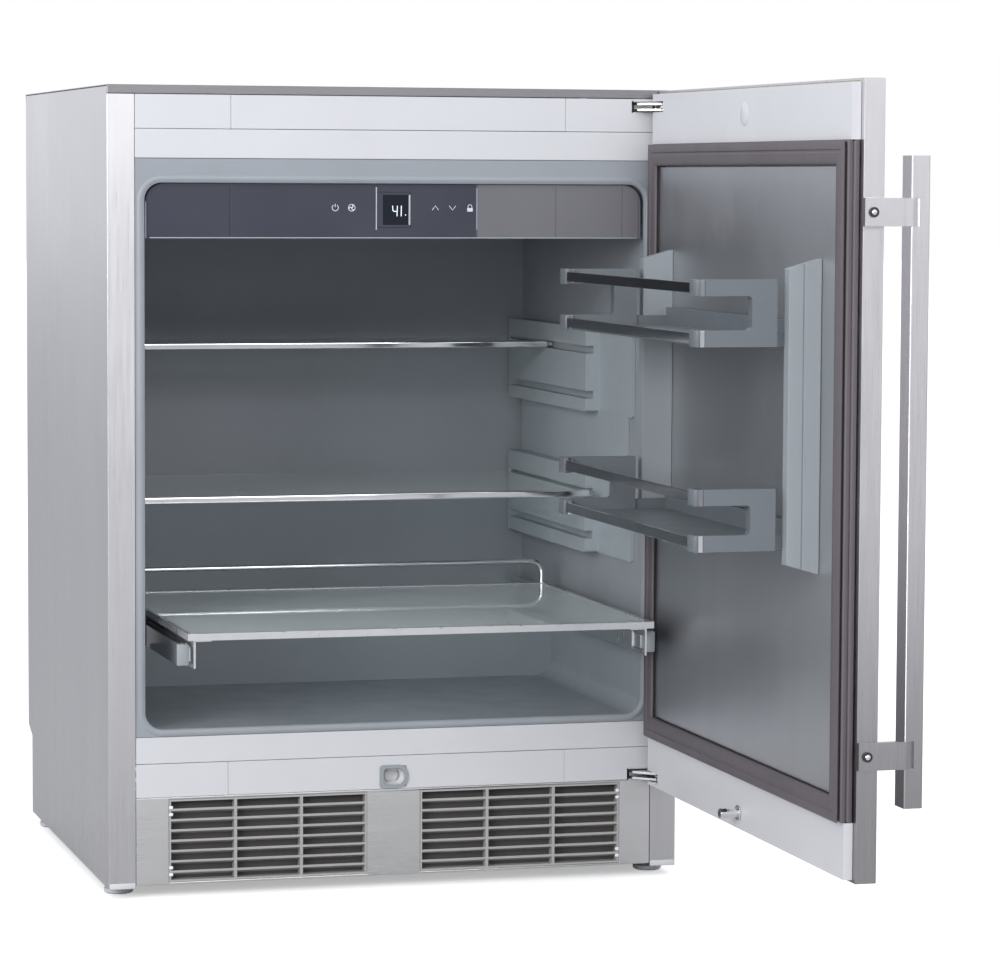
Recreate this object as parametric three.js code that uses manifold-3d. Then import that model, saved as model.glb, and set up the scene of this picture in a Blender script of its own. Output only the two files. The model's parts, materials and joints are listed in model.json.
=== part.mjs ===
// Undercounter refrigerator for a concession counter, with its door standing open.
//
// Millimetres, +Z up, +X to the right of a person facing the front, +Y towards the back.
// The origin is on the floor, under the middle of the cabinet. Every piece is laid out in
// "cabinet" coordinates, where y is the distance behind the front plane of the cabinet, and the
// cabinet group then shifts them so that y = 0 is the middle of the cabinet's depth.
// The pieces of the door are laid out with the door shut, and its group swings them open.

import * as THREE from "three";
import { mergeVertices } from "three/addons/utils/BufferGeometryUtils.js";
import Module from "manifold-3d";

const wasm = await Module();
wasm.setup();

// ---------------------------------------------------------------------------------------------
// Driving dimensions
// ---------------------------------------------------------------------------------------------

const GAP = 0.3; // clearance between pieces that touch
const SHEET = 1.5; // casing sheet metal

const HALF_WIDTH = 300;
const DEPTH = 532;
const HEIGHT = 820;
const PANEL_BOTTOM = 10; // the side panels end this far above the floor
const POST_WIDTH = 27.5; // folded front edge of a side panel
const POST_DEPTH = 18;
const INNER_HALF = HALF_WIDTH - POST_WIDTH - 0.5; // half-width of everything between the posts
const TOP_LIP = 9; // height of the top cover's front lip
const REAR_RECESS = { depth: 27, height: 97 }; // kick recess at the lower back

// Heights of the strips that make up the front, from the floor.
const PLINTH = { bottom: 13, top: 102 };
const LOWER_FASCIA = { bottom: 102.3, top: 136.4 };
const LOWER_RAIL = { bottom: 136.8, top: 163.6 };
const LINER_FLANGE = { bottom: 164, top: 746.8 };
const UPPER_RAIL = { bottom: 747.2, top: 776.3 };
const UPPER_FASCIA = { bottom: 776.7, top: 810.7 };

// The food compartment.
const CAVITY = { half: 262.5, bottom: 171, top: 723, depth: 461, radius: 18 };
const STEP = { front: 335, top: 232 }; // raised floor over the compressor
const LINER_WALL = 2;

// The door, laid out shut. Its hinge axis is vertical.
const HINGE = { x: 278, y: -20 };
const DOOR_OPEN_ANGLE = Math.PI / 2;
const DOOR = { left: -298, right: 294, bottom: 96, top: 819, front: -37, shellBack: -17, back: -8 };
const DOOR_SHEET = 1.2;
const DOOR_RETURN = 10; // width of the shell's folds behind the side edges
const DOOR_LEDGE = 7; // how far the inner frame's sides stand in from the shell's
const PANEL_FACE = -6.5; // the inner panel's face, behind the cabinet's front plane
const GASKET = { left: -291, right: 280, bottom: 151, top: 764, width: 23, back: -0.5 };
const PIVOT_HEIGHTS = { lower: 108, upper: 802.5 };

// Racks in the door.
const RACK_HALF = 217;
const RACK_REACH = 111; // how far a rack reaches behind the front plane, door shut
const RACK_UPPER = { bottom: 577, top: 638 };
const RACK_LOWER = { bottom: 391, top: 448 };
const UPRIGHT = { outer: 224, inner: 210.5, reach: 25, bottom: 369, top: 657, chamfer: 9 };

// The pull-out tray. Shut, its front edge is TRAY.front behind the front plane.
const TRAY = { half: 240, front: 60, back: 458, bottom: 274, top: 281 };
const TRAY_DRAWN_OUT = 170;

// Fixed-height glass shelves.
const SHELF_UPPER = { front: 295, bottom: 542 };
const SHELF_LOWER = { front: 130, bottom: 389 };
const SHELF_THICKNESS = 7;

// ---------------------------------------------------------------------------------------------
// Materials
// ---------------------------------------------------------------------------------------------

const finish = (color, roughness, metalness) =>
  new THREE.MeshStandardMaterial({ color, roughness, metalness });

const STAINLESS = finish(0xb4b2b0, 0.35, 0.9);
const GALVANISED = finish(0x9a9c9e, 0.5, 0.8);
const CHROME = finish(0xd8dadc, 0.12, 1.0);
const PALE_PLASTIC = finish(0xd5d6da, 0.4, 0.0);
const LINER_GREY = finish(0x6f7880, 0.45, 0.1);
const RACK_GREY = finish(0x7b848b, 0.4, 0.1);
const FASCIA_SLATE = finish(0x4a4c58, 0.12, 0.0);
const DISPLAY_BLACK = finish(0x14161c, 0.08, 0.0);
const GASKET_TAUPE = finish(0x6f6a70, 0.7, 0.0);
const BLACK_PLASTIC = finish(0x242628, 0.5, 0.0);
const COMPRESSOR_BLACK = finish(0x1c1d1f, 0.35, 0.3);
const FOAM = finish(0xe4d7a8, 0.95, 0.0);
const ALUMINIUM = finish(0xb9bcc0, 0.4, 0.9);
const GLASS = finish(0xa9b9bd, 0.05, 0.0);
const WHITE_PLASTIC = finish(0xf2f4f6, 0.2, 0.0);
const RUBBER = finish(0x2a2a2c, 0.85, 0.0);

// ---------------------------------------------------------------------------------------------
// Geometry helpers
// ---------------------------------------------------------------------------------------------

function block(x0, x1, y0, y1, z0, z1) {
  const box = new THREE.BoxGeometry(x1 - x0, y1 - y0, z1 - z0);
  return box.translate((x0 + x1) / 2, (y0 + y1) / 2, (z0 + z1) / 2);
}

const outline = (points) => new THREE.Shape(points.map(([a, b]) => new THREE.Vector2(a, b)));

function roundedRect(a0, a1, b0, b1, radius) {
  const shape = new THREE.Shape();
  shape.absarc(a1 - radius, b1 - radius, radius, 0, Math.PI / 2);
  shape.absarc(a0 + radius, b1 - radius, radius, Math.PI / 2, Math.PI);
  shape.absarc(a0 + radius, b0 + radius, radius, Math.PI, 1.5 * Math.PI);
  shape.absarc(a1 - radius, b0 + radius, radius, 1.5 * Math.PI, 2 * Math.PI);
  shape.closePath();
  return shape;
}

// Two distances from the middle, as an ordered pair of x values on one side (-1 left, +1 right).
const span = (side, a, b) => [side * a, side * b].sort((one, other) => one - other);

function circle(a, b, radius) {
  const shape = new THREE.Shape();
  shape.absarc(a, b, radius, 0, 2 * Math.PI);
  return shape;
}

const AXES = {
  x: [0, 1, 0, 0, 0, 1, 1, 0, 0], // outline in (y, z), pushed along +x
  y: [1, 0, 0, 0, 0, 1, 0, -1, 0], // outline in (x, z), pushed along -y
  z: [1, 0, 0, 0, 1, 0, 0, 0, 1], // outline in (x, y), pushed along +z
};

// An outline pushed along an axis, from one coordinate to another.
function slab(shape, axis, from, to, curveSegments = 5) {
  const length = to - from;
  const pushed = new THREE.ExtrudeGeometry(shape, {
    depth: length,
    bevelEnabled: false,
    curveSegments,
  });
  const [ax, ay, az, bx, by, bz, cx, cy, cz] = AXES[axis];
  const turn = new THREE.Matrix4().makeBasis(
    new THREE.Vector3(ax, ay, az),
    new THREE.Vector3(bx, by, bz),
    new THREE.Vector3(cx, cy, cz),
  );
  pushed.applyMatrix4(turn);
  const start = axis === "y" ? to : from;
  return pushed.translate(axis === "x" ? start : 0, axis === "y" ? start : 0, axis === "z" ? start : 0);
}

// A round bar along an axis, centred at (a, b) in the other two coordinates.
function rod(axis, a, b, radius, from, to, sides = 16) {
  const bar = new THREE.CylinderGeometry(radius, radius, to - from, sides);
  const middle = (from + to) / 2;
  if (axis === "x") return bar.rotateZ(-Math.PI / 2).translate(middle, a, b);
  if (axis === "y") return bar.translate(a, middle, b);
  return bar.rotateX(Math.PI / 2).translate(a, b, middle);
}

// A turned piece on a vertical axis at (x, y), from its (radius, height) profile.
function turned(profile, x, y, sides = 20) {
  const points = profile.map(([r, z]) => new THREE.Vector2(r, z));
  return new THREE.LatheGeometry(points, sides).rotateX(Math.PI / 2).translate(x, y, 0);
}

function solid(geometry) {
  const bare = geometry.clone();
  bare.deleteAttribute("normal");
  bare.deleteAttribute("uv");
  const merged = mergeVertices(bare, 1e-4);
  return new wasm.Manifold(
    new wasm.Mesh({
      numProp: 3,
      vertProperties: new Float32Array(merged.attributes.position.array),
      triVerts: new Uint32Array(merged.index.array),
    }),
  );
}

function geometryOf(manifold) {
  const mesh = manifold.getMesh();
  const geometry = new THREE.BufferGeometry();
  geometry.setAttribute("position", new THREE.BufferAttribute(mesh.vertProperties, 3));
  geometry.setIndex(new THREE.BufferAttribute(mesh.triVerts, 1));
  geometry.computeVertexNormals();
  return geometry;
}

const join = (first, ...others) =>
  geometryOf(others.reduce((sum, other) => sum.add(solid(other)), solid(first)));

const cut = (first, ...tools) =>
  geometryOf(tools.reduce((rest, tool) => rest.subtract(solid(tool)), solid(first)));

// ---------------------------------------------------------------------------------------------
// Groups that carry the pieces
// ---------------------------------------------------------------------------------------------

const fridge = new THREE.Group();

const cabinet = new THREE.Group();
cabinet.position.y = -DEPTH / 2;
fridge.add(cabinet);

const doorPivot = new THREE.Group();
doorPivot.position.set(HINGE.x, HINGE.y, 0);
doorPivot.rotation.z = DOOR_OPEN_ANGLE;
cabinet.add(doorPivot);

const door = new THREE.Group();
door.position.set(-HINGE.x, -HINGE.y, 0);
doorPivot.add(door);

const tray = new THREE.Group();
tray.position.y = -TRAY_DRAWN_OUT;
cabinet.add(tray);

function piece(name, parent, material, geometry) {
  const mesh = new THREE.Mesh(geometry, material);
  mesh.name = name;
  parent.add(mesh);
}

// ---------------------------------------------------------------------------------------------
// Casing
// ---------------------------------------------------------------------------------------------

// A side panel is one sheet, folded at the front into a post, with a kick recess at the lower
// back. side is -1 for the left panel and +1 for the right.
function sidePanel(side) {
  const out = side * HALF_WIDTH;
  const skin = side * (HALF_WIDTH - SHEET);
  const post = side * (HALF_WIDTH - POST_WIDTH);
  const [skin0, skin1] = span(side, HALF_WIDTH, HALF_WIDTH - SHEET);
  const postSkin = side * (HALF_WIDTH - POST_WIDTH + SHEET);
  const folded = outline([
    [out, 0],
    [out, DEPTH],
    [skin, DEPTH],
    [skin, SHEET],
    [postSkin, SHEET],
    [postSkin, POST_DEPTH],
    [post, POST_DEPTH],
    [post, 0],
  ]);
  const top = HEIGHT - TOP_LIP - GAP;
  const upstand = block(skin0, skin1, SHEET + GAP, DEPTH - SHEET - GAP, top - 1, HEIGHT - SHEET - GAP);
  const recessFront = DEPTH - REAR_RECESS.depth;
  const recess = outline([
    [recessFront, 0],
    [DEPTH + 5, 0],
    [DEPTH + 5, REAR_RECESS.height + 10],
    [DEPTH, REAR_RECESS.height + 10],
    [recessFront, REAR_RECESS.height],
  ]);
  return cut(
    join(slab(folded, "z", PANEL_BOTTOM, top), upstand),
    slab(recess, "x", skin0 - 5, skin1 + 5),
  );
}

piece("side_panel_left", cabinet, STAINLESS, sidePanel(-1));
piece("side_panel_right", cabinet, STAINLESS, sidePanel(1));

const topLipBottom = HEIGHT - TOP_LIP;
piece(
  "top_cover",
  cabinet,
  STAINLESS,
  slab(
    outline([
      [0, topLipBottom],
      [0, HEIGHT],
      [DEPTH, HEIGHT],
      [DEPTH, topLipBottom],
      [DEPTH - SHEET, topLipBottom],
      [DEPTH - SHEET, HEIGHT - SHEET],
      [SHEET, HEIGHT - SHEET],
      [SHEET, topLipBottom],
    ].reverse()),
    "x",
    -HALF_WIDTH,
    HALF_WIDTH,
  ),
);

// The back is one bent sheet: a flat panel, and a louvred cover set in over the recess.
const INLET = { x: 205, z: 62, halfWidth: 15, halfHeight: 12 };
const rearInside = HALF_WIDTH - SHEET - GAP;
const recessPlane = DEPTH - REAR_RECESS.depth - 4;
const rearSheet = slab(
  outline([
    [recessPlane, PANEL_BOTTOM + 4],
    [recessPlane + SHEET, PANEL_BOTTOM + 4],
    [recessPlane + SHEET, 109],
    [DEPTH - 2, 109],
    [DEPTH - 2, topLipBottom - 1],
    [DEPTH - 2 - SHEET, topLipBottom - 1],
    [DEPTH - 2 - SHEET, 109 + SHEET],
    [recessPlane, 109 + SHEET],
  ]),
  "x",
  -rearInside,
  rearInside,
);
const louvres = [];
for (let column = 0; column < 3; column += 1) {
  for (let row = 0; row < 6; row += 1) {
    const x = -230 + column * 130;
    const z = 28 + row * 12;
    louvres.push(block(x, x + 110, recessPlane - 2, recessPlane + 4, z, z + 5));
  }
}
piece(
  "rear_panel",
  cabinet,
  GALVANISED,
  cut(
    rearSheet,
    ...louvres,
    block(
      INLET.x - INLET.halfWidth - GAP,
      INLET.x + INLET.halfWidth + GAP,
      recessPlane - 2,
      recessPlane + 4,
      INLET.z - INLET.halfHeight - GAP,
      INLET.z + INLET.halfHeight + GAP,
    ),
  ),
);

// Appliance inlet: a moulded block with an open socket and three contact blades.
const socket = block(
  INLET.x - 12,
  INLET.x + 12,
  recessPlane - 14,
  recessPlane + 5,
  INLET.z - 9,
  INLET.z + 9,
);
const blades = [
  [-7, -2],
  [7, -2],
  [0, 4],
].map(([dx, dz]) =>
  block(
    INLET.x + dx - 1,
    INLET.x + dx + 1,
    recessPlane - 16,
    recessPlane,
    INLET.z + dz - 2,
    INLET.z + dz + 2,
  ),
);
piece(
  "power_inlet",
  cabinet,
  BLACK_PLASTIC,
  join(
    cut(
      join(
        block(
          INLET.x - INLET.halfWidth,
          INLET.x + INLET.halfWidth,
          recessPlane - 20,
          recessPlane + 2,
          INLET.z - INLET.halfHeight,
          INLET.z + INLET.halfHeight,
        ),
        block(
          INLET.x - 19,
          INLET.x + 19,
          recessPlane + SHEET + GAP,
          recessPlane + 4,
          INLET.z - 15,
          INLET.z + 15,
        ),
      ),
      socket,
    ),
    ...blades,
  ),
);

// ---------------------------------------------------------------------------------------------
// Base: a ring frame on the feet, with a pan hung in it that carries the machine
// ---------------------------------------------------------------------------------------------

const FRAME_FLOOR = 11;
const FRAME_TOP = 33;
const FOOT = { x: 283, front: 42, rear: 462, studRadius: 5 };
const PAN = { half: 262, front: 66, back: 438, bottom: 7, wall: 2 };

const footHoles = [-1, 1].flatMap((side) =>
  [FOOT.front, FOOT.rear].map((y) =>
    rod("z", side * FOOT.x, y, FOOT.studRadius + GAP, FRAME_FLOOR - 2, FRAME_TOP + 2),
  ),
);
const trough = (y0, y1) => block(-PAN.half, PAN.half, y0, y1, FRAME_FLOOR + 3, FRAME_TOP + 2);
const frameRing = cut(
  block(-rearInside, rearInside, 20, 490, FRAME_FLOOR, FRAME_TOP),
  block(-PAN.half, PAN.half, PAN.front, PAN.back, FRAME_FLOOR - 2, FRAME_TOP + 2),
  trough(23, PAN.front - 3),
  trough(PAN.back + 3, 487),
  ...footHoles,
);
const panTray = cut(
  block(-PAN.half, PAN.half, PAN.front, PAN.back, PAN.bottom, FRAME_FLOOR + 8),
  block(
    -PAN.half + PAN.wall,
    PAN.half - PAN.wall,
    PAN.front + PAN.wall,
    PAN.back - PAN.wall,
    PAN.bottom + PAN.wall,
    FRAME_TOP,
  ),
);
piece("base_pan", cabinet, GALVANISED, join(frameRing, panTray));

// A levelling foot: a broad pad, a collar under the frame and a stud up through it.
const FOOT_PROFILE = [
  [0, 0],
  [13, 0],
  [15, 1.5],
  [15, 5],
  [9, 7],
  [9, FRAME_FLOOR - GAP],
  [FOOT.studRadius, FRAME_FLOOR - GAP],
  [FOOT.studRadius, FRAME_TOP + 6],
  [0, FRAME_TOP + 6],
];
for (const [side, sideName] of [
  [-1, "left"],
  [1, "right"],
]) {
  for (const place of ["front", "rear"]) {
    piece(`foot_${place}_${sideName}`, cabinet, RUBBER, turned(FOOT_PROFILE, side * FOOT.x, FOOT[place]));
  }
}

// ---------------------------------------------------------------------------------------------
// Front strips
// ---------------------------------------------------------------------------------------------

// A strip is a channel: a face, and a fold back along its top and bottom edges.
const STRIP_FACE = 0.5;
const STRIP_DEPTH = 16;

function strip(level) {
  const { bottom, top } = level;
  return slab(
    outline([
      [STRIP_FACE, bottom],
      [STRIP_DEPTH, bottom],
      [STRIP_DEPTH, bottom + SHEET],
      [STRIP_FACE + SHEET, bottom + SHEET],
      [STRIP_FACE + SHEET, top - SHEET],
      [STRIP_DEPTH, top - SHEET],
      [STRIP_DEPTH, top],
      [STRIP_FACE, top],
    ]),
    "x",
    -INNER_HALF,
    INNER_HALF,
  );
}

// A shallow groove across a strip's face, where two lengths of it meet.
const seam = (x, level) =>
  block(x - 0.4, x + 0.4, STRIP_FACE - 1, STRIP_FACE + 0.7, level.bottom - 1, level.top + 1);

// The window in a fascia that a hinge bracket comes out of.
const HINGE_WINDOW = { left: 247, right: 274, below: 6, above: 6 };
const hingeWindow = (pivotHeight) =>
  block(
    HINGE_WINDOW.left,
    HINGE_WINDOW.right,
    STRIP_FACE - 2,
    STRIP_DEPTH + 2,
    pivotHeight - HINGE_WINDOW.below,
    pivotHeight + HINGE_WINDOW.above,
  );

piece(
  "upper_fascia",
  cabinet,
  PALE_PLASTIC,
  cut(
    strip(UPPER_FASCIA),
    seam(-174, UPPER_FASCIA),
    seam(176, UPPER_FASCIA),
    hingeWindow(PIVOT_HEIGHTS.upper),
  ),
);
piece("frame_rail_upper", cabinet, PALE_PLASTIC, strip(UPPER_RAIL));
piece("frame_rail_lower", cabinet, PALE_PLASTIC, strip(LOWER_RAIL));

const CATCH = { x: -4, z: 115, pinRadius: 5, mouthHalf: 11, mouthHalfHeight: 8.5, mouthDepth: 9 };

// The mouth of the catch is squarer on the left and rounder on the right.
function catchOutline(halfWidth, halfHeight) {
  const { x, z } = CATCH;
  const shape = new THREE.Shape();
  const tight = 3.5;
  const broad = halfHeight - 1;
  shape.absarc(x + halfWidth - broad, z + halfHeight - broad, broad, 0, Math.PI / 2);
  shape.absarc(x - halfWidth + tight, z + halfHeight - tight, tight, Math.PI / 2, Math.PI);
  shape.absarc(x - halfWidth + tight, z - halfHeight + tight, tight, Math.PI, 1.5 * Math.PI);
  shape.absarc(x + halfWidth - broad, z - halfHeight + broad, broad, 1.5 * Math.PI, 2 * Math.PI);
  shape.closePath();
  return shape;
}

piece(
  "lower_fascia",
  cabinet,
  PALE_PLASTIC,
  cut(
    strip(LOWER_FASCIA),
    seam(-177, LOWER_FASCIA),
    seam(179, LOWER_FASCIA),
    hingeWindow(PIVOT_HEIGHTS.lower),
    block(
      CATCH.x - CATCH.mouthHalf - 2 - GAP,
      CATCH.x + CATCH.mouthHalf + 2 + GAP,
      STRIP_FACE - 2,
      STRIP_FACE + 4,
      CATCH.z - CATCH.mouthHalfHeight - 2 - GAP,
      CATCH.z + CATCH.mouthHalfHeight + 2 + GAP,
    ),
  ),
);

piece(
  "catch_receptacle",
  cabinet,
  WHITE_PLASTIC,
  cut(
    join(
      slab(catchOutline(15, 12), "y", -1.2, 0.2, 7),
      block(
        CATCH.x - CATCH.mouthHalf - 2,
        CATCH.x + CATCH.mouthHalf + 2,
        0,
        26,
        CATCH.z - CATCH.mouthHalfHeight - 2,
        CATCH.z + CATCH.mouthHalfHeight + 2,
      ),
    ),
    slab(catchOutline(CATCH.mouthHalf, CATCH.mouthHalfHeight), "y", -3, CATCH.mouthDepth, 7),
    rod("y", CATCH.x, CATCH.z, CATCH.pinRadius + 2.2, -3, 22),
  ),
);

// ---------------------------------------------------------------------------------------------
// Plinth with its two air grilles
// ---------------------------------------------------------------------------------------------

const GRILLE_BOTTOM = 15;
const GRILLE_TOP = 100;
const GRILLES = { left: [-238.5, -32], right: [24, 239] };
const GRILLE_COLUMNS = 3;
const GRILLE_SLATS = 8;
const GRILLE_DEPTH = 12;

piece(
  "plinth_panel",
  cabinet,
  STAINLESS,
  cut(
    join(
      block(-INNER_HALF, INNER_HALF, STRIP_FACE, STRIP_FACE + SHEET, PLINTH.bottom, PLINTH.top),
      block(-INNER_HALF, INNER_HALF, STRIP_FACE, 14, PLINTH.bottom, PLINTH.bottom + 1.2),
    ),
    ...Object.values(GRILLES).map(([x0, x1]) =>
      block(x0, x1, STRIP_FACE - 2, STRIP_FACE + 6, GRILLE_BOTTOM, GRILLE_TOP),
    ),
  ),
);

// A grille: a rim, two uprights, and slats that slope down towards the back.
function grille([x0, x1]) {
  const left = x0 + GAP;
  const right = x1 - GAP;
  const low = GRILLE_BOTTOM + GAP;
  const high = GRILLE_TOP - GAP;
  const rim = 2;
  const face = STRIP_FACE + 0.3;
  const frame = cut(
    block(left, right, face, GRILLE_DEPTH, low, high),
    block(left + rim, right - rim, face - 2, GRILLE_DEPTH + 2, low + rim, high - rim),
  );
  const bars = [];
  for (let column = 1; column < GRILLE_COLUMNS; column += 1) {
    const x = left + (column * (right - left)) / GRILLE_COLUMNS;
    bars.push(block(x - 1.5, x + 1.5, face, GRILLE_DEPTH, low + 1, high - 1));
  }
  const pitch = (high - low) / GRILLE_SLATS;
  for (let row = 1; row < GRILLE_SLATS; row += 1) {
    const z = low + row * pitch;
    const slat = outline([
      [face, z - 1.2],
      [face + 9, z - 4.7],
      [face + 9, z - 3.4],
      [face, z + 1.2],
    ]);
    bars.push(slab(slat, "x", left + 1, right - 1));
  }
  return join(frame, ...bars);
}
piece("grille_left", cabinet, RACK_GREY, grille(GRILLES.left));
piece("grille_right", cabinet, RACK_GREY, grille(GRILLES.right));

// ---------------------------------------------------------------------------------------------
// Liner and insulation
// ---------------------------------------------------------------------------------------------

const UNDERCUT = 60; // how far the step cutter reaches below the floor

// The hollow of the food compartment, grown by an allowance on every side.
function cavityVolume(grow, frontY) {
  const room = slab(
    roundedRect(
      -CAVITY.half - grow,
      CAVITY.half + grow,
      CAVITY.bottom - grow,
      CAVITY.top + grow,
      CAVITY.radius + grow,
    ),
    "y",
    frontY,
    CAVITY.depth + grow,
  );
  const step = block(
    -CAVITY.half - UNDERCUT,
    CAVITY.half + UNDERCUT,
    STEP.front + grow,
    CAVITY.depth + UNDERCUT,
    CAVITY.bottom - UNDERCUT,
    STEP.top - grow,
  );
  return cut(room, step);
}

const FLANGE_FACE = 1;
piece(
  "inner_liner",
  cabinet,
  LINER_GREY,
  cut(
    join(
      cavityVolume(LINER_WALL, FLANGE_FACE),
      block(-INNER_HALF, INNER_HALF, FLANGE_FACE, FLANGE_FACE + 2, LINER_FLANGE.bottom, LINER_FLANGE.top),
    ),
    cavityVolume(0, FLANGE_FACE - 5),
  ),
);

const PARTITION = { roof: 138, rise: 298, shelf: 198 }; // where the foam stops over the machine
const EVAPORATOR = { half: 200, front: 466, back: 474, bottom: 260, top: 640 };
const foamBody = outline([
  [22, PARTITION.roof],
  [PARTITION.rise, PARTITION.roof],
  [PARTITION.rise, PARTITION.shelf],
  [DEPTH - 4.5, PARTITION.shelf],
  [DEPTH - 4.5, HEIGHT - TOP_LIP - 1],
  [22, HEIGHT - TOP_LIP - 1],
]);
piece(
  "insulation",
  cabinet,
  FOAM,
  cut(
    slab(foamBody, "x", -rearInside, rearInside),
    cavityVolume(LINER_WALL + GAP, 10),
    block(
      -EVAPORATOR.half - GAP,
      EVAPORATOR.half + GAP,
      CAVITY.depth - 2,
      EVAPORATOR.back + GAP,
      EVAPORATOR.bottom - GAP,
      EVAPORATOR.top + GAP,
    ),
  ),
);

// The evaporator is a plate with a channel pressed into it, foamed in behind the liner.
const channels = [];
for (let z = EVAPORATOR.bottom + 30; z < EVAPORATOR.top - 20; z += 60) {
  channels.push(
    rod("x", EVAPORATOR.front + 4, z, 3.4, -EVAPORATOR.half + 15, EVAPORATOR.half - 15, 10),
  );
}
piece(
  "evaporator",
  cabinet,
  ALUMINIUM,
  join(
    block(
      -EVAPORATOR.half,
      EVAPORATOR.half,
      EVAPORATOR.front + 3.4,
      EVAPORATOR.front + 5,
      EVAPORATOR.bottom,
      EVAPORATOR.top,
    ),
    ...channels,
  ),
);

// ---------------------------------------------------------------------------------------------
// Shelf supports, one moulding on each side wall
// ---------------------------------------------------------------------------------------------

const SUPPORT = { plate: 3, front: 30, ribFront: 150, back: 455, bottom: 327, top: 569, ribDepth: 18 };
const SUPPORT_BLOCKS = [
  [SUPPORT.bottom, 418],
  [479, SUPPORT.top],
];
const GROOVES = [346, SHELF_LOWER.bottom + 3.5, 497, SHELF_UPPER.bottom + 3.5];
const GROOVE_HEIGHT = 8.4;
const GROOVE_DEPTH = 9;

// A thin plate along the wall, and two thick ribs behind it that hold the grooves for the shelves.
function shelfSupport(side) {
  const wall = CAVITY.half - GAP;
  const [b0, b1] = span(side, wall, wall - 2);
  const [p0, p1] = span(side, wall, wall - SUPPORT.plate);
  const [s0, s1] = span(side, wall, wall - SUPPORT.ribDepth);
  const [g0, g1] = span(side, wall - SUPPORT.ribDepth + GROOVE_DEPTH, wall - SUPPORT.ribDepth - 4);
  const web = block(b0, b1, SUPPORT.front + 20, SUPPORT.back, SUPPORT.bottom, SUPPORT.top);
  const plates = SUPPORT_BLOCKS.map(([low, high]) =>
    slab(roundedRect(SUPPORT.front, SUPPORT.back, low, high, 3), "x", p0, p1, 2),
  );
  const ribs = SUPPORT_BLOCKS.map(([low, high]) =>
    slab(roundedRect(SUPPORT.ribFront, SUPPORT.back, low, high, 3), "x", s0, s1, 2),
  );
  const grooves = GROOVES.map((z) =>
    block(g0, g1, SUPPORT.ribFront - 2, SUPPORT.back - 4, z - GROOVE_HEIGHT / 2, z + GROOVE_HEIGHT / 2),
  );
  return cut(join(web, ...plates, ...ribs), ...grooves);
}
piece("shelf_support_left", cabinet, RACK_GREY, shelfSupport(-1));
piece("shelf_support_right", cabinet, RACK_GREY, shelfSupport(1));

// ---------------------------------------------------------------------------------------------
// Controls and air fan at the top of the compartment
// ---------------------------------------------------------------------------------------------

const FASCIA = { left: -258.5, right: 256, bottom: 667, top: 719.5, front: 4, back: 9, radius: 16.5 };
const DISPLAY = { left: -24, right: 13, bottom: 678, top: 714 };
const FASCIA_SEAMS = [-175, 167, 238.5];

const fasciaOutline = new THREE.Shape();
fasciaOutline.moveTo(FASCIA.left, FASCIA.bottom);
fasciaOutline.lineTo(FASCIA.right, FASCIA.bottom);
fasciaOutline.absarc(
  FASCIA.right - FASCIA.radius,
  FASCIA.top - FASCIA.radius,
  FASCIA.radius,
  0,
  Math.PI / 2,
);
fasciaOutline.absarc(
  FASCIA.left + FASCIA.radius,
  FASCIA.top - FASCIA.radius,
  FASCIA.radius,
  Math.PI / 2,
  Math.PI,
);
fasciaOutline.closePath();
piece(
  "control_fascia",
  cabinet,
  FASCIA_SLATE,
  cut(
    slab(fasciaOutline, "y", FASCIA.front, FASCIA.back),
    block(DISPLAY.left, DISPLAY.right, 2, FASCIA.front + 3, DISPLAY.bottom, DISPLAY.top),
    ...FASCIA_SEAMS.map((x) =>
      block(x - 0.3, x + 0.3, 2, FASCIA.front + 0.6, FASCIA.bottom - 1, FASCIA.top + 1),
    ),
  ),
);
piece(
  "display_window",
  cabinet,
  DISPLAY_BLACK,
  block(
    DISPLAY.left + GAP,
    DISPLAY.right - GAP,
    FASCIA.front + 0.5,
    FASCIA.front + 3 - GAP,
    DISPLAY.bottom + GAP,
    DISPLAY.top - GAP,
  ),
);

const HOUSING = { half: 236, front: 9.3, back: 150, bottom: 672, top: 722 };
const LAMP = { half: 121, front: 20, back: 40 }; // pocket for the lamp under the housing
const AIR_FAN = { x: 0, y: 96, radius: 36, hub: 12, blades: 6 };
piece(
  "control_housing",
  cabinet,
  BLACK_PLASTIC,
  cut(
    block(-HOUSING.half, HOUSING.half, HOUSING.front, HOUSING.back, HOUSING.bottom, HOUSING.top),
    rod("z", AIR_FAN.x, AIR_FAN.y, AIR_FAN.radius + 4, HOUSING.bottom - 2, HOUSING.top - 6, 24),
    block(
      -AIR_FAN.radius,
      AIR_FAN.radius,
      AIR_FAN.y,
      HOUSING.back + 2,
      HOUSING.bottom + 14,
      HOUSING.top - 6,
    ),
    block(-LAMP.half, LAMP.half, LAMP.front, LAMP.back, HOUSING.bottom - 2, HOUSING.bottom + 4),
  ),
);
// A propeller: a hub with flat blades set at a pitch, spinning on a vertical axis.
function propeller(x, y, z0, z1, hubRadius, tipRadius, blades) {
  const middle = (z0 + z1) / 2;
  const parts = [];
  for (let n = 0; n < blades; n += 1) {
    const blade = block(hubRadius - 2, tipRadius, -7, 7, -0.8, 0.8);
    blade.rotateX(THREE.MathUtils.degToRad(32));
    blade.rotateZ((n * 2 * Math.PI) / blades);
    parts.push(blade.translate(x, y, middle));
  }
  return join(rod("z", x, y, hubRadius, z0, z1, 16), ...parts);
}
piece(
  "interior_fan_rotor",
  cabinet,
  PALE_PLASTIC,
  propeller(
    AIR_FAN.x,
    AIR_FAN.y,
    HOUSING.bottom + 6,
    HOUSING.bottom + 22,
    AIR_FAN.hub,
    AIR_FAN.radius,
    AIR_FAN.blades,
  ),
);

// ---------------------------------------------------------------------------------------------
// Shelves
// ---------------------------------------------------------------------------------------------

const SHELF_HALF = 251;
const SHELF_BACK = 445;
const SHELF_BODY_HALF = 243.5;

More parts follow.
